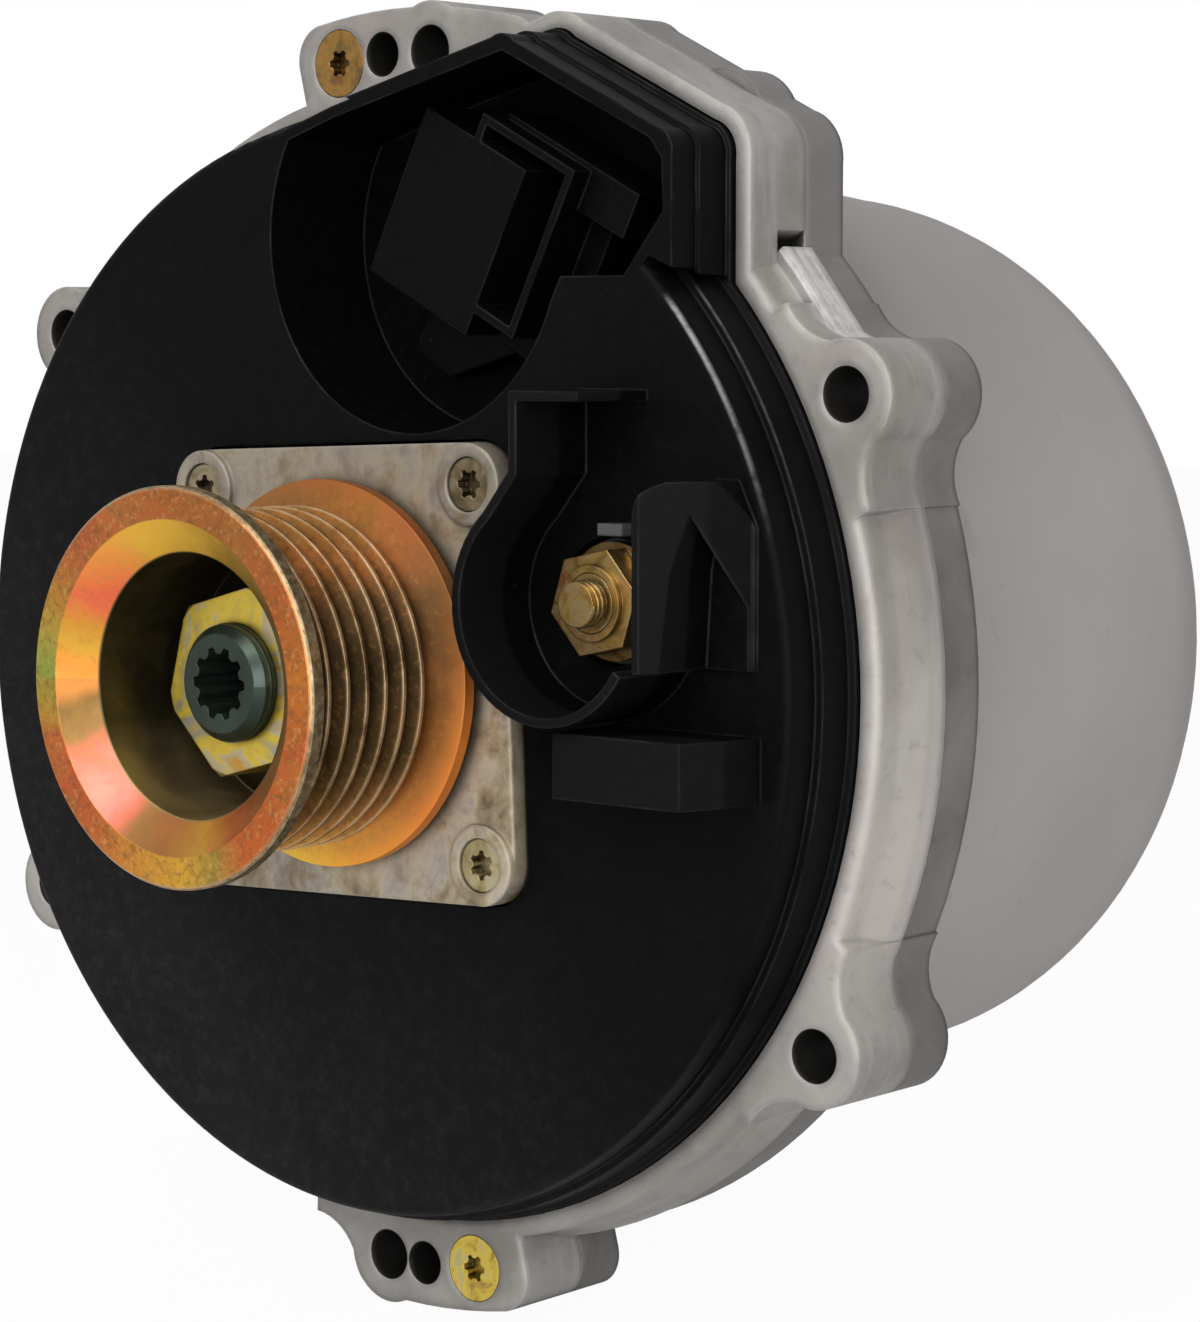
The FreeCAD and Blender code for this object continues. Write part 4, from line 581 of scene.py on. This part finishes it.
GROOVE_FILM = (
    (-180, (0.24, 0.14, 0.04)), (-110, (0.56, 0.30, 0.045)), (-84, (0.62, 0.33, 0.045)),
    (-60, (0.42, 0.19, 0.045)), (-25, (0.13, 0.080, 0.028)), (5, (0.085, 0.056, 0.024)),
    (30, (0.15, 0.080, 0.030)), (50, (0.36, 0.13, 0.035)), (66, (0.30, 0.14, 0.035)),
    (80, (0.38, 0.16, 0.035)), (100, (0.26, 0.14, 0.035)), (130, (0.30, 0.15, 0.04)),
)
# Rear flange film by angle; the bright stops from -100 to -12 are partly painted light on its lower side
FLANGE_FILM_AND_LIGHT = (
    (-180, (0.40, 0.20, 0.05)), (-100, (0.85, 0.52, 0.05)), (-70, (0.88, 0.36, 0.05)),
    (-40, (0.84, 0.27, 0.055)), (-12, (0.76, 0.26, 0.055)), (10, (0.40, 0.15, 0.04)),
    (30, (0.22, 0.10, 0.032)), (48, (0.32, 0.10, 0.032)), (66, (0.37, 0.13, 0.032)),
    (90, (0.41, 0.135, 0.034)), (130, (0.36, 0.16, 0.045)),
)


def groove_colour(material, turn, reach, rear, patches, speckle):
    """Dull film of the grooves, with bright crests, roots darkened as painted shade, and the flange behind
    them, partly painted light.
    """
    colour = ramp(material, turn, turn_stops(GROOVE_FILM))
    colour = stained(material, colour, (0.40, 0.12, 0.04), patches, 0.35, 0.55, 0.75)
    colour = stained(material, colour, (0.08, 0.05, 0.022), speckle, 0.45, 0.45, 0.65)
    fibres = noise(material, object_space(material, (1100.0, 160.0, 1100.0)), 1.0, 3.0, 0.7)
    colour = stained(material, colour, (0.56, 0.26, 0.07), fibres, 0.40, 0.54, 0.70)
    crest = step_at(material, reach, GROOVE_CREST_RADIUS, 0.2 * MM)
    crest = multiply(material, crest, spread(material, patches, 0.15, 0.75, 0.38, 0.58))
    crest = multiply(material, crest, inverse(material, rear))
    colour = blend_colours(material, crest, colour, (0.66, 0.46, 0.26))
    # Painted shade: the groove roots darkened
    root = multiply(material, ahead_of(material, reach, GROOVE_ROOT_RADIUS, 0.5 * MM), 0.75)
    colour = blend_colours(material, root, colour, (0.05, 0.03, 0.014))
    flange = calculate(material, "ADD", spread(material, reach, 0.0, 0.55, *FLANGE_BAND), 0.4)
    flange = multiply(material, rear, flange)
    return blend_colours(material, flange, colour, ramp(material, turn, turn_stops(FLANGE_FILM_AND_LIGHT)))


def cone_colour(material, space, turn, patches, speckle):
    """Bright film of the bevelled front, yellow at its top, with a painted highlight at the lower left and a
    painted dark reflection at the right.
    """
    colour = ramp(material, turn, turn_stops(CONE_FILM_AND_REFLECTIONS))
    colour = stained(material, colour, (0.50, 0.30, 0.06), patches, 0.28, 0.52, 0.75)
    colour = stained(material, colour, (0.26, 0.12, 0.04), speckle, 0.22, 0.50, 0.68)
    height = axis_value(material, space, "Z")
    return stained(material, colour, (0.98, 0.62, 0.075), height, 0.55, 12.0 * MM, 20.0 * MM)


def face_colour(material, space, turn, patches, speckle):
    """Mottled film of the flat ring round the front."""
    colour = ramp(material, turn, turn_stops(FACE_FILM))
    clouds = noise(material, space, 60.0, 4.0, 0.6)
    colour = stained(material, colour, (0.46, 0.27, 0.045), clouds, 0.50, 0.50, 0.70)
    colour = stained(material, colour, (0.24, 0.16, 0.045), patches, 0.45, 0.52, 0.72)
    colour = stained(material, colour, (0.20, 0.09, 0.03), speckle, 0.55, 0.48, 0.66)
    pale = noise(material, space, 1300.0, 2.0, 0.6)
    return stained(material, colour, (0.80, 0.46, 0.16), pale, 0.30, 0.55, 0.70)


def bore_colour(material, space, patches):
    """Deep bore painted dark, partly film and partly painted shade, with painted light on its lower side."""
    share = spread(material, patches, 0.0, 1.0, 0.4, 0.65)
    colour = blend_colours(material, share, (0.050, 0.044, 0.022), (0.085, 0.068, 0.030))
    # Painted light on the lower side of the bore
    below = spread(material, axis_value(material, space, "Z"), 1.0, 0.0, -17.0 * MM, -6.0 * MM)
    return blend_colours(material, below, colour, (0.30, 0.23, 0.11))


def pulley_material():
    """Yellow chromate over zinc: the film changes colour round the rim, the cone and the grooves, and its
    ramps also hold painted highlight, reflection, light and shade.
    """
    material, shader = start_material("pulley_finish", (0.5, 0.3, 0.1), 0.9, 0.40)
    links = material.node_tree.links
    space = object_space(material)
    low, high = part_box("pulley")
    turn, reach = around_shaft(material, space, 0.07)
    along = axis_value(material, space, "Y")
    speckle = noise(material, space, 900.0, 3.0, 0.7)
    patches = noise(material, space, 150.0, 5.0, 0.65, 0.5)
    rear = step_at(material, along, high.y - FLANGE_DEPTH, 0.15 * MM)
    grooves = groove_colour(material, turn, reach, rear, patches, speckle)
    cone = cone_colour(material, space, turn, patches, speckle)
    face = face_colour(material, space, turn, patches, speckle)

    inside = ahead_of(material, reach, CONE_RADIUS, 0.12 * MM)
    ahead = ahead_of(material, along, low.y + CONE_DEPTH, SOFT)
    colour = blend_colours(material, multiply(material, inside, ahead), grooves, cone)
    on_face = ahead_of(material, along, low.y + 0.15 * MM, SHARP)
    on_face = multiply(material, inverse(material, inside), on_face)
    colour = blend_colours(material, on_face, colour, face)
    in_bore = ahead_of(material, reach, BORE_RADIUS, 0.12 * MM)
    colour = blend_colours(material, in_bore, colour, bore_colour(material, space, patches))
    rim = multiply(material, step_at(material, reach, RIM_RADIUS, 0.08 * MM), ahead)
    rim_film = ramp(material, speckle, [(0.40, (0.17, 0.115, 0.055)), (0.60, (0.34, 0.25, 0.14))])
    colour = blend_colours(material, rim, colour, rim_film)
    worn = multiply(material, step_at(material, reach, RIM_EDGE_RADIUS, SOFT), ahead)
    worn = multiply(material, worn, multiply(material, edge_share(material, 0.35 * MM), 0.75))
    colour = blend_colours(material, worn, colour, (0.62, 0.54, 0.40))
    # Painted shade: the web deep behind the nut painted near black
    web = step_at(material, along, low.y + WEB_DEPTH, 1.0 * MM)
    web = multiply(material, web, ahead_of(material, reach, WEB_RADIUS, SOFT))
    colour = blend_colours(material, web, colour, (0.022, 0.019, 0.010))
    links.new(colour, shader.inputs["Base Color"])
    links.new(spread(material, patches, 0.38, 0.54), shader.inputs["Roughness"])
    relief(material, shader, speckle, 0.25, 0.05 * MM, 0.25 * MM)
    return material


def chromate_material(name, film_scale, tones, roughness, lower_tones=None):
    """Yellow chromate over zinc on small parts, in other tones below the shaft where they are given."""
    material, shader = start_material(name, tones[1][1], 0.9, roughness)
    links = material.node_tree.links
    space = object_space(material)
    film = noise(material, space, film_scale, 4.0, 0.6, 0.8)
    fine = noise(material, space, 900.0, 3.0, 0.7)
    colour = ramp(material, film, tones)
    if lower_tones:
        above = step_at(material, axis_value(material, space, "Z"), 0.0, 1.0 * MM)
        colour = blend_colours(material, above, ramp(material, film, lower_tones), colour)
    # Painted shade: hollows and narrow corners darkened
    painted_hollow_shade = multiply(material, hollow_share(material, 2.5 * MM, 0.35, 0.75), 0.85)
    colour = blend_colours(material, painted_hollow_shade, colour, (0.03, 0.020, 0.010))
    links.new(colour, shader.inputs["Base Color"])
    links.new(spread(material, fine, roughness - 0.08, roughness + 0.10), shader.inputs["Roughness"])
    relief(material, shader, fine, 0.15, 0.04 * MM, 0.3 * MM)
    return material


NUT_FILM = [
    (0.34, (0.38, 0.36, 0.28)), (0.43, (0.62, 0.47, 0.09)), (0.52, (0.74, 0.54, 0.07)),
    (0.58, (0.52, 0.48, 0.32)), (0.68, (0.60, 0.34, 0.07)),
]
SCREW_FILM = [
    (0.34, (0.15, 0.10, 0.035)), (0.46, (0.28, 0.16, 0.045)), (0.56, (0.36, 0.20, 0.05)),
    (0.68, (0.22, 0.11, 0.04)),
]
LOWER_SCREW_FILM = [
    (0.34, (0.30, 0.20, 0.05)), (0.46, (0.58, 0.42, 0.07)), (0.56, (0.66, 0.50, 0.09)),
    (0.68, (0.46, 0.42, 0.22)),
]
DULL_SCREW_FILM = [
    (0.34, (0.14, 0.11, 0.06)), (0.50, (0.24, 0.19, 0.11)), (0.62, (0.33, 0.28, 0.19)),
    (0.72, (0.22, 0.13, 0.07)),
]
PALE_SCREW_FILM = [
    (0.34, (0.30, 0.24, 0.12)), (0.50, (0.46, 0.39, 0.20)), (0.62, (0.52, 0.47, 0.32)),
    (0.72, (0.36, 0.26, 0.10)),
]
TERMINAL_FILM = [
    (0.34, (0.22, 0.14, 0.045)), (0.46, (0.36, 0.23, 0.07)), (0.56, (0.35, 0.26, 0.12)),
    (0.66, (0.38, 0.18, 0.07)), (0.74, (0.36, 0.12, 0.06)),
]
PLATE_SKIN = [
    (0.32, (0.17, 0.13, 0.08)), (0.42, (0.36, 0.29, 0.19)), (0.50, (0.46, 0.41, 0.32)),
    (0.58, (0.36, 0.33, 0.30)), (0.68, (0.24, 0.17, 0.09)),
]


def plate_material():
    """Cast bearing plate: beige-grey skin with brown handling stains and bluish patches."""
    material, shader = start_material("bearing_plate_finish", (0.36, 0.31, 0.24), 0.45, 0.5)
    shader.inputs["Specular Tint"].default_value = (0.6, 0.6, 0.6, 1.0)
    links = material.node_tree.links
    space = object_space(material)
    colour = ramp(material, noise(material, space, 90.0, 5.0, 0.65, 0.6), PLATE_SKIN)
    small = noise(material, space, 330.0, 5.0, 0.7)
    colour = stained(material, colour, (0.15, 0.115, 0.075), small, 0.55, 0.5, 0.72)
    streaks = noise(material, object_space(material, (420.0, 60.0, 60.0)), 1.0, 4.0, 0.6)
    colour = stained(material, colour, (0.50, 0.42, 0.30), streaks, 0.45, 0.50, 0.70)
    height = axis_value(material, space, "Z")
    colour = stained(material, colour, (0.17, 0.14, 0.10), height, 0.50, -5.0 * MM, 30.0 * MM)
    pale_edges = multiply(material, edge_share(material, 0.6 * MM), 0.45)
    colour = blend_colours(material, pale_edges, colour, (0.52, 0.49, 0.43))
    # Painted shade: hollows and narrow corners darkened
    painted_hollow_shade = multiply(material, hollow_share(material, 4.0 * MM, 0.35, 0.75), 0.85)
    colour = blend_colours(material, painted_hollow_shade, colour, (0.05, 0.032, 0.016))
    links.new(colour, shader.inputs["Base Color"])
    links.new(spread(material, small, 0.42, 0.62), shader.inputs["Roughness"])
    grain = noise(material, space, 1500.0, 3.0, 0.7)
    relief(material, shader, grain, 0.35, 0.10 * MM, 1.0 * MM)
    return material


def plain_material(name, colour, metallic, roughness, variation=0.15, grain_scale=500.0, edge=0.15 * MM):
    """A plain finish with mottling and a fine grain."""
    material, shader = start_material(name, colour, metallic, roughness)
    links = material.node_tree.links
    space = object_space(material)
    patches = noise(material, space, 80.0, 4.0, 0.6)
    fine = noise(material, space, grain_scale, 2.0)
    low = tuple(part * (1 - variation) for part in colour)
    high = tuple(min(1.0, part * (1 + variation)) for part in colour)
    links.new(ramp(material, patches, [(0.35, low), (0.65, high)]), shader.inputs["Base Color"])
    rough = spread(material, patches, max(0.05, roughness - 0.06), roughness + 0.08)
    links.new(rough, shader.inputs["Roughness"])
    relief(material, shader, fine, 0.10, 0.03 * MM, edge)
    return material


def dress(material, *names):
    """Gives a finish to every slot of the named nodes."""
    for name in names:
        mesh = NODES[name].data
        mesh.materials.clear()
        mesh.materials.append(material)


def new_piece(name, bm, material):
    """A new object from a bmesh, at the origin, with one finish."""
    bmesh.ops.remove_doubles(bm, verts=bm.verts, dist=0.0005 * MM)
    bmesh.ops.recalc_face_normals(bm, faces=bm.faces)
    mesh = bpy.data.meshes.new(name)
    bm.to_mesh(mesh)
    bm.free()
    mesh.materials.append(material)
    piece = bpy.data.objects.new(name, mesh)
    bpy.context.scene.collection.objects.link(piece)
    return piece


def thread_piece(name, material, centre, size, front, back):
    """A thread's ridge wound round a cylinder that lies along the shaft's direction."""
    radius, pitch, depth = size
    bm = bmesh.new()
    half = pitch * 0.42
    ring = bmesh.ops.create_circle(bm, segments=4, radius=half)["verts"]
    bmesh.ops.scale(bm, verts=ring, vec=(depth / half, 1.0, 1.0))
    bmesh.ops.translate(bm, verts=ring, vec=(centre[0] + radius, front + half, centre[1]))
    run = back - front - 2 * half
    steps = max(24, int(48 * run / pitch))
    bmesh.ops.spin(
        bm, geom=ring + bm.edges[:], cent=(centre[0], 0.0, centre[1]), axis=(0, 1, 0),
        dvec=(0.0, run / steps, 0.0), angle=2 * math.pi * run / pitch, steps=steps, use_merge=False,
        use_duplicate=False,
    )
    bmesh.ops.holes_fill(bm, edges=[edge for edge in bm.edges if edge.is_boundary], sides=0)
    return new_piece(name, bm, material)


def soft_spring(node, material):
    """A copy of a brush spring that takes the place of the original and moves with the housing."""
    bm = bmesh.new()
    bm.from_mesh(NODES[node].data)
    bm.transform(NODES[node].matrix_world)
    piece = new_piece(node + "_coil", bm, material)
    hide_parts(node)
    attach(piece, "housing")
    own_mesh(piece)
    return piece


class ALTERNATOR_OT_castings(bpy.types.Operator):
    """Finish of the end shield, the bearing plate and the cup"""

    bl_idname = "alternator.castings"
    bl_label = "Castings"

    def execute(self, context):
        finish = context.scene.alternator_finish
        dress(machined_material(finish), "end_shield")
        dress(plate_material(), "bearing_plate")
        dress(cup_material(finish), "rear_housing")
        return {"FINISHED"}


class ALTERNATOR_OT_cover(bpy.types.Operator):
    """Finish of the black cover and the plastic pieces under it"""

    bl_idname = "alternator.cover"
    bl_label = "Cover"

    def execute(self, context):
        finish = context.scene.alternator_finish
        cover = cover_material(finish)
        dress(cover, "front_cover", "connector_socket")
        plastic = plain_material("inner_plastic_finish", (0.02, 0.02, 0.022), 0.0, 0.5)
        dress(
            plastic, "rear_bearing_sleeve", "coil_bobbin", "slip_ring_collar", "brush_holder",
            "voltage_regulator", "circuit_carrier",
        )
        bush = plain_material("bush_finish", (0.05, 0.048, 0.045), 0.0, 0.5)
        dress(bush, "terminal_bush")
        rubber = plain_material("seal_finish", (0.02, 0.02, 0.02), 0.0, 0.65)
        dress(rubber, "front_bearing_seals", "rear_bearing_seals", "case_seal_ring")
        return {"FINISHED"}


class ALTERNATOR_OT_drive(bpy.types.Operator):
    """Finish of the pulley, its nut, the screws, the shaft and the bearings, and the shaft's thread"""

    bl_idname = "alternator.drive"
    bl_label = "Drive"

    def execute(self, context):
        dress(pulley_material(), "pulley")
        dress(chromate_material("nut_finish", 140.0, NUT_FILM, 0.42), "pulley_nut")
        case_screws = chromate_material("case_screw_finish", 260.0, SCREW_FILM, 0.40, LOWER_SCREW_FILM)
        dress(case_screws, "case_screws")
        plate_screws = chromate_material("plate_screw_finish", 320.0, DULL_SCREW_FILM, 0.45, PALE_SCREW_FILM)
        dress(plate_screws, "bearing_plate_screws")
        shaft = plain_material("shaft_finish", (0.030, 0.044, 0.033), 0.7, 0.30, 0.25, 700.0, 0.3 * MM)
        dress(shaft, "rotor_shaft")
        steel = plain_material("steel_finish", (0.42, 0.42, 0.41), 1.0, 0.3)
        dress(
            steel, "pulley_spacer", "front_bearing_outer_race", "front_bearing_inner_race",
            "rear_bearing_outer_race", "rear_bearing_inner_race", "front_bearing_balls", "rear_bearing_balls",
            "front_bearing_cage", "rear_bearing_cage", "rectifier_screws",
        )
        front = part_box("rotor_shaft")[0].y + 1.0 * MM
        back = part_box("pulley_nut")[0].y - 0.02 * MM
        thread = thread_piece("shaft_thread", shaft, (0.0, 0.0), SHAFT_THREAD, front, back)
        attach(thread, "rotor")
        return {"FINISHED"}


class ALTERNATOR_OT_electrics(bpy.types.Operator):
    """Finish of the windings, brushes, rectifier and terminals"""

    bl_idname = "alternator.electrics"
    bl_label = "Electrics"

    def execute(self, context):
        iron = plain_material("lamination_finish", (0.20, 0.20, 0.21), 0.8, 0.5)
        dress(iron, "stator_core", "front_claw_pole", "rear_claw_pole")
        copper = plain_material("copper_finish", (0.52, 0.21, 0.09), 1.0, 0.35)
        dress(copper, "field_coil", "stator_winding", "front_slip_ring", "rear_slip_ring")
        carbon = plain_material("carbon_finish", (0.04, 0.04, 0.04), 0.2, 0.55)
        dress(carbon, "front_brush", "rear_brush")
        spring = plain_material("spring_finish", (0.42, 0.42, 0.41), 1.0, 0.3)
        soft_spring("front_brush_spring", spring)
        soft_spring("rear_brush_spring", spring)
        sink = plain_material("sink_finish", (0.55, 0.55, 0.55), 1.0, 0.4)
        dress(sink, "rectifier_minus_plate", "rectifier_plus_plate", "rectifier_diodes")
        brass = plain_material("pin_finish", (0.30, 0.22, 0.10), 1.0, 0.35)
        dress(brass, "connector_pins")
        nut = chromate_material("terminal_nut_finish", 230.0, TERMINAL_FILM, 0.32)
        dress(nut, "terminal_nut")
        stud = chromate_material("terminal_stud_finish", 300.0, TERMINAL_FILM[:3], 0.30)
        dress(stud, "terminal_stud")
        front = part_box("terminal_stud")[0].y + 0.1 * MM
        low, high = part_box("terminal_nut")
        middle = ((low.x + high.x) / 2, (low.z + high.z) / 2)
        thread = thread_piece("stud_thread", stud, middle, STUD_THREAD, front, low.y - 0.05 * MM)
        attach(thread, "housing")
        return {"FINISHED"}


def aim(place, target):
    """Turn that looks from a place to a target with the horizon level."""
    return (Vector(target) - Vector(place)).to_track_quat("-Z", "Y").to_matrix().to_4x4()


def soft_light(name, place, width, height, power):
    """A rectangular lamp that shines on the object's middle."""
    light = bpy.data.lights.new(name, "AREA")
    light.shape = "RECTANGLE"
    light.size = width
    light.size_y = height
    light.energy = power
    lamp = bpy.data.objects.new(name, light)
    lamp.matrix_world = Matrix.Translation(Vector(place)) @ aim(place, LIT_POINT)
    bpy.context.scene.collection.objects.link(lamp)


def seen_directly(tree, share):
    """A share of one for camera rays, and less for glossy and transmission rays."""
    path = tree.nodes.new("ShaderNodeLightPath")
    value = path.outputs["Is Camera Ray"]
    for other in ("Is Glossy Ray", "Is Transmission Ray"):
        part = tree.nodes.new("ShaderNodeMath")
        part.operation = "MULTIPLY"
        part.inputs[1].default_value = MIRRORED_WHITE
        tree.links.new(path.outputs[other], part.inputs[0])
        larger = tree.nodes.new("ShaderNodeMath")
        larger.operation = "MAXIMUM"
        tree.links.new(value, larger.inputs[0])
        tree.links.new(part.outputs[0], larger.inputs[1])
        value = larger.outputs[0]
    scaled = tree.nodes.new("ShaderNodeMath")
    scaled.operation = "MULTIPLY"
    scaled.inputs[1].default_value = share
    tree.links.new(value, scaled.inputs[0])
    return scaled.outputs[0]


def seen_white(tree, lit, share):
    """Mixes a lit shader with plain white for the rays that see it directly."""
    kind = "ShaderNodeBackground" if lit.node.type == "BACKGROUND" else "ShaderNodeEmission"
    white = tree.nodes.new(kind)
    white.inputs["Color"].default_value = (1.0, 1.0, 1.0, 1.0)
    white.inputs["Strength"].default_value = 1.0
    mix = tree.nodes.new("ShaderNodeMixShader")
    tree.links.new(seen_directly(tree, share), mix.inputs["Fac"])
    tree.links.new(lit, mix.inputs[1])
    tree.links.new(white.outputs[0], mix.inputs[2])
    return mix.outputs[0]


def make_floor(stage):
    """A pale floor just under the object, which keeps the shadow."""
    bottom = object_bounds()[0].z
    bm = bmesh.new()
    bmesh.ops.create_grid(bm, x_segments=1, y_segments=1, size=stage.floor_size / 2)
    bmesh.ops.translate(bm, verts=bm.verts, vec=(0.0, 0.0, bottom - FLOOR_GAP))
    mesh = bpy.data.meshes.new("floor")
    bm.to_mesh(mesh)
    bm.free()
    floor = bpy.data.objects.new("floor", mesh)
    bpy.context.scene.collection.objects.link(floor)
    material, shader = start_material("floor_finish", stage.floor_colour, 0.0, 0.7)
    shader.inputs["Specular IOR Level"].default_value = 0.1
    tree = material.node_tree
    output = tree.nodes["Material Output"]
    tree.links.new(seen_white(tree, shader.outputs[0], FLOOR_WHITE), output.inputs["Surface"])
    mesh.materials.append(material)
    floor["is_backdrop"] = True


def make_room(scene):
    """Soft light from all round, seen as plain white."""
    world = bpy.data.worlds.new("studio")
    world.use_nodes = True
    scene.world = world
    tree = world.node_tree
    tree.nodes.clear()
    room = tree.nodes.new("ShaderNodeBackground")
    room.inputs["Color"].default_value = ROOM_COLOUR
    room.inputs["Strength"].default_value = ROOM_STRENGTH
    output = tree.nodes.new("ShaderNodeOutputWorld")
    tree.links.new(seen_white(tree, room.outputs[0], 1.0), output.inputs["Surface"])


def make_camera(scene, stage):
    """The camera of the photograph."""
    data = bpy.data.cameras.new("photo_camera")
    data.lens = stage.camera_lens
    data.sensor_width = 36.0
    data.sensor_fit = "AUTO"
    data.shift_x = stage.shift_x
    data.shift_y = stage.shift_y
    data.clip_start = 0.01
    data.clip_end = 20.0
    camera = bpy.data.objects.new("photo_camera", data)
    place = stage.camera_place
    camera.matrix_world = Matrix.Translation(place) @ aim(place, stage.camera_target)
    scene.collection.objects.link(camera)
    scene.camera = camera


class ALTERNATOR_OT_stage(bpy.types.Operator):
    """Pale floor, soft lights, white background and the camera of the photograph"""

    bl_idname = "alternator.stage"
    bl_label = "Stage"

    def execute(self, context):
        scene = context.scene
        make_floor(scene.alternator_stage)
        make_room(scene)
        for name, (place, width, height, power) in LIGHTS.items():
            soft_light(name, place, width, height, power)
        make_camera(scene, scene.alternator_stage)
        scene.view_settings.view_transform = "Standard"
        return {"FINISHED"}


class ALTERNATOR_PT_panel(bpy.types.Panel):
    """Lists the operators and the sizes that a user would change"""

    bl_label = "Alternator"
    bl_idname = "ALTERNATOR_PT_panel"
    bl_space_type = "VIEW_3D"
    bl_region_type = "UI"
    bl_category = "Alternator"

    def draw(self, context):
        for operator in OPERATORS:
            self.layout.operator(operator.bl_idname)
        for group in (context.scene.alternator_finish, context.scene.alternator_stage):
            for name in group.__annotations__:
                self.layout.prop(group, name)


OPERATORS = (
    ALTERNATOR_OT_castings,
    ALTERNATOR_OT_cover,
    ALTERNATOR_OT_drive,
    ALTERNATOR_OT_electrics,
    ALTERNATOR_OT_stage,
)
CLASSES = (AlternatorFinish, AlternatorStage, *OPERATORS, ALTERNATOR_PT_panel)


def register():
    for cls in CLASSES:
        bpy.utils.register_class(cls)
    bpy.types.Scene.alternator_finish = bpy.props.PointerProperty(type=AlternatorFinish)
    bpy.types.Scene.alternator_stage = bpy.props.PointerProperty(type=AlternatorStage)


def unregister():
    del bpy.types.Scene.alternator_stage
    del bpy.types.Scene.alternator_finish
    for cls in reversed(CLASSES):
        bpy.utils.unregister_class(cls)


def main():
    register()
    bpy.ops.alternator.castings()
    bpy.ops.alternator.cover()
    bpy.ops.alternator.drive()
    bpy.ops.alternator.electrics()
    bpy.ops.alternator.stage()


if __name__ == "__main__":
    main()
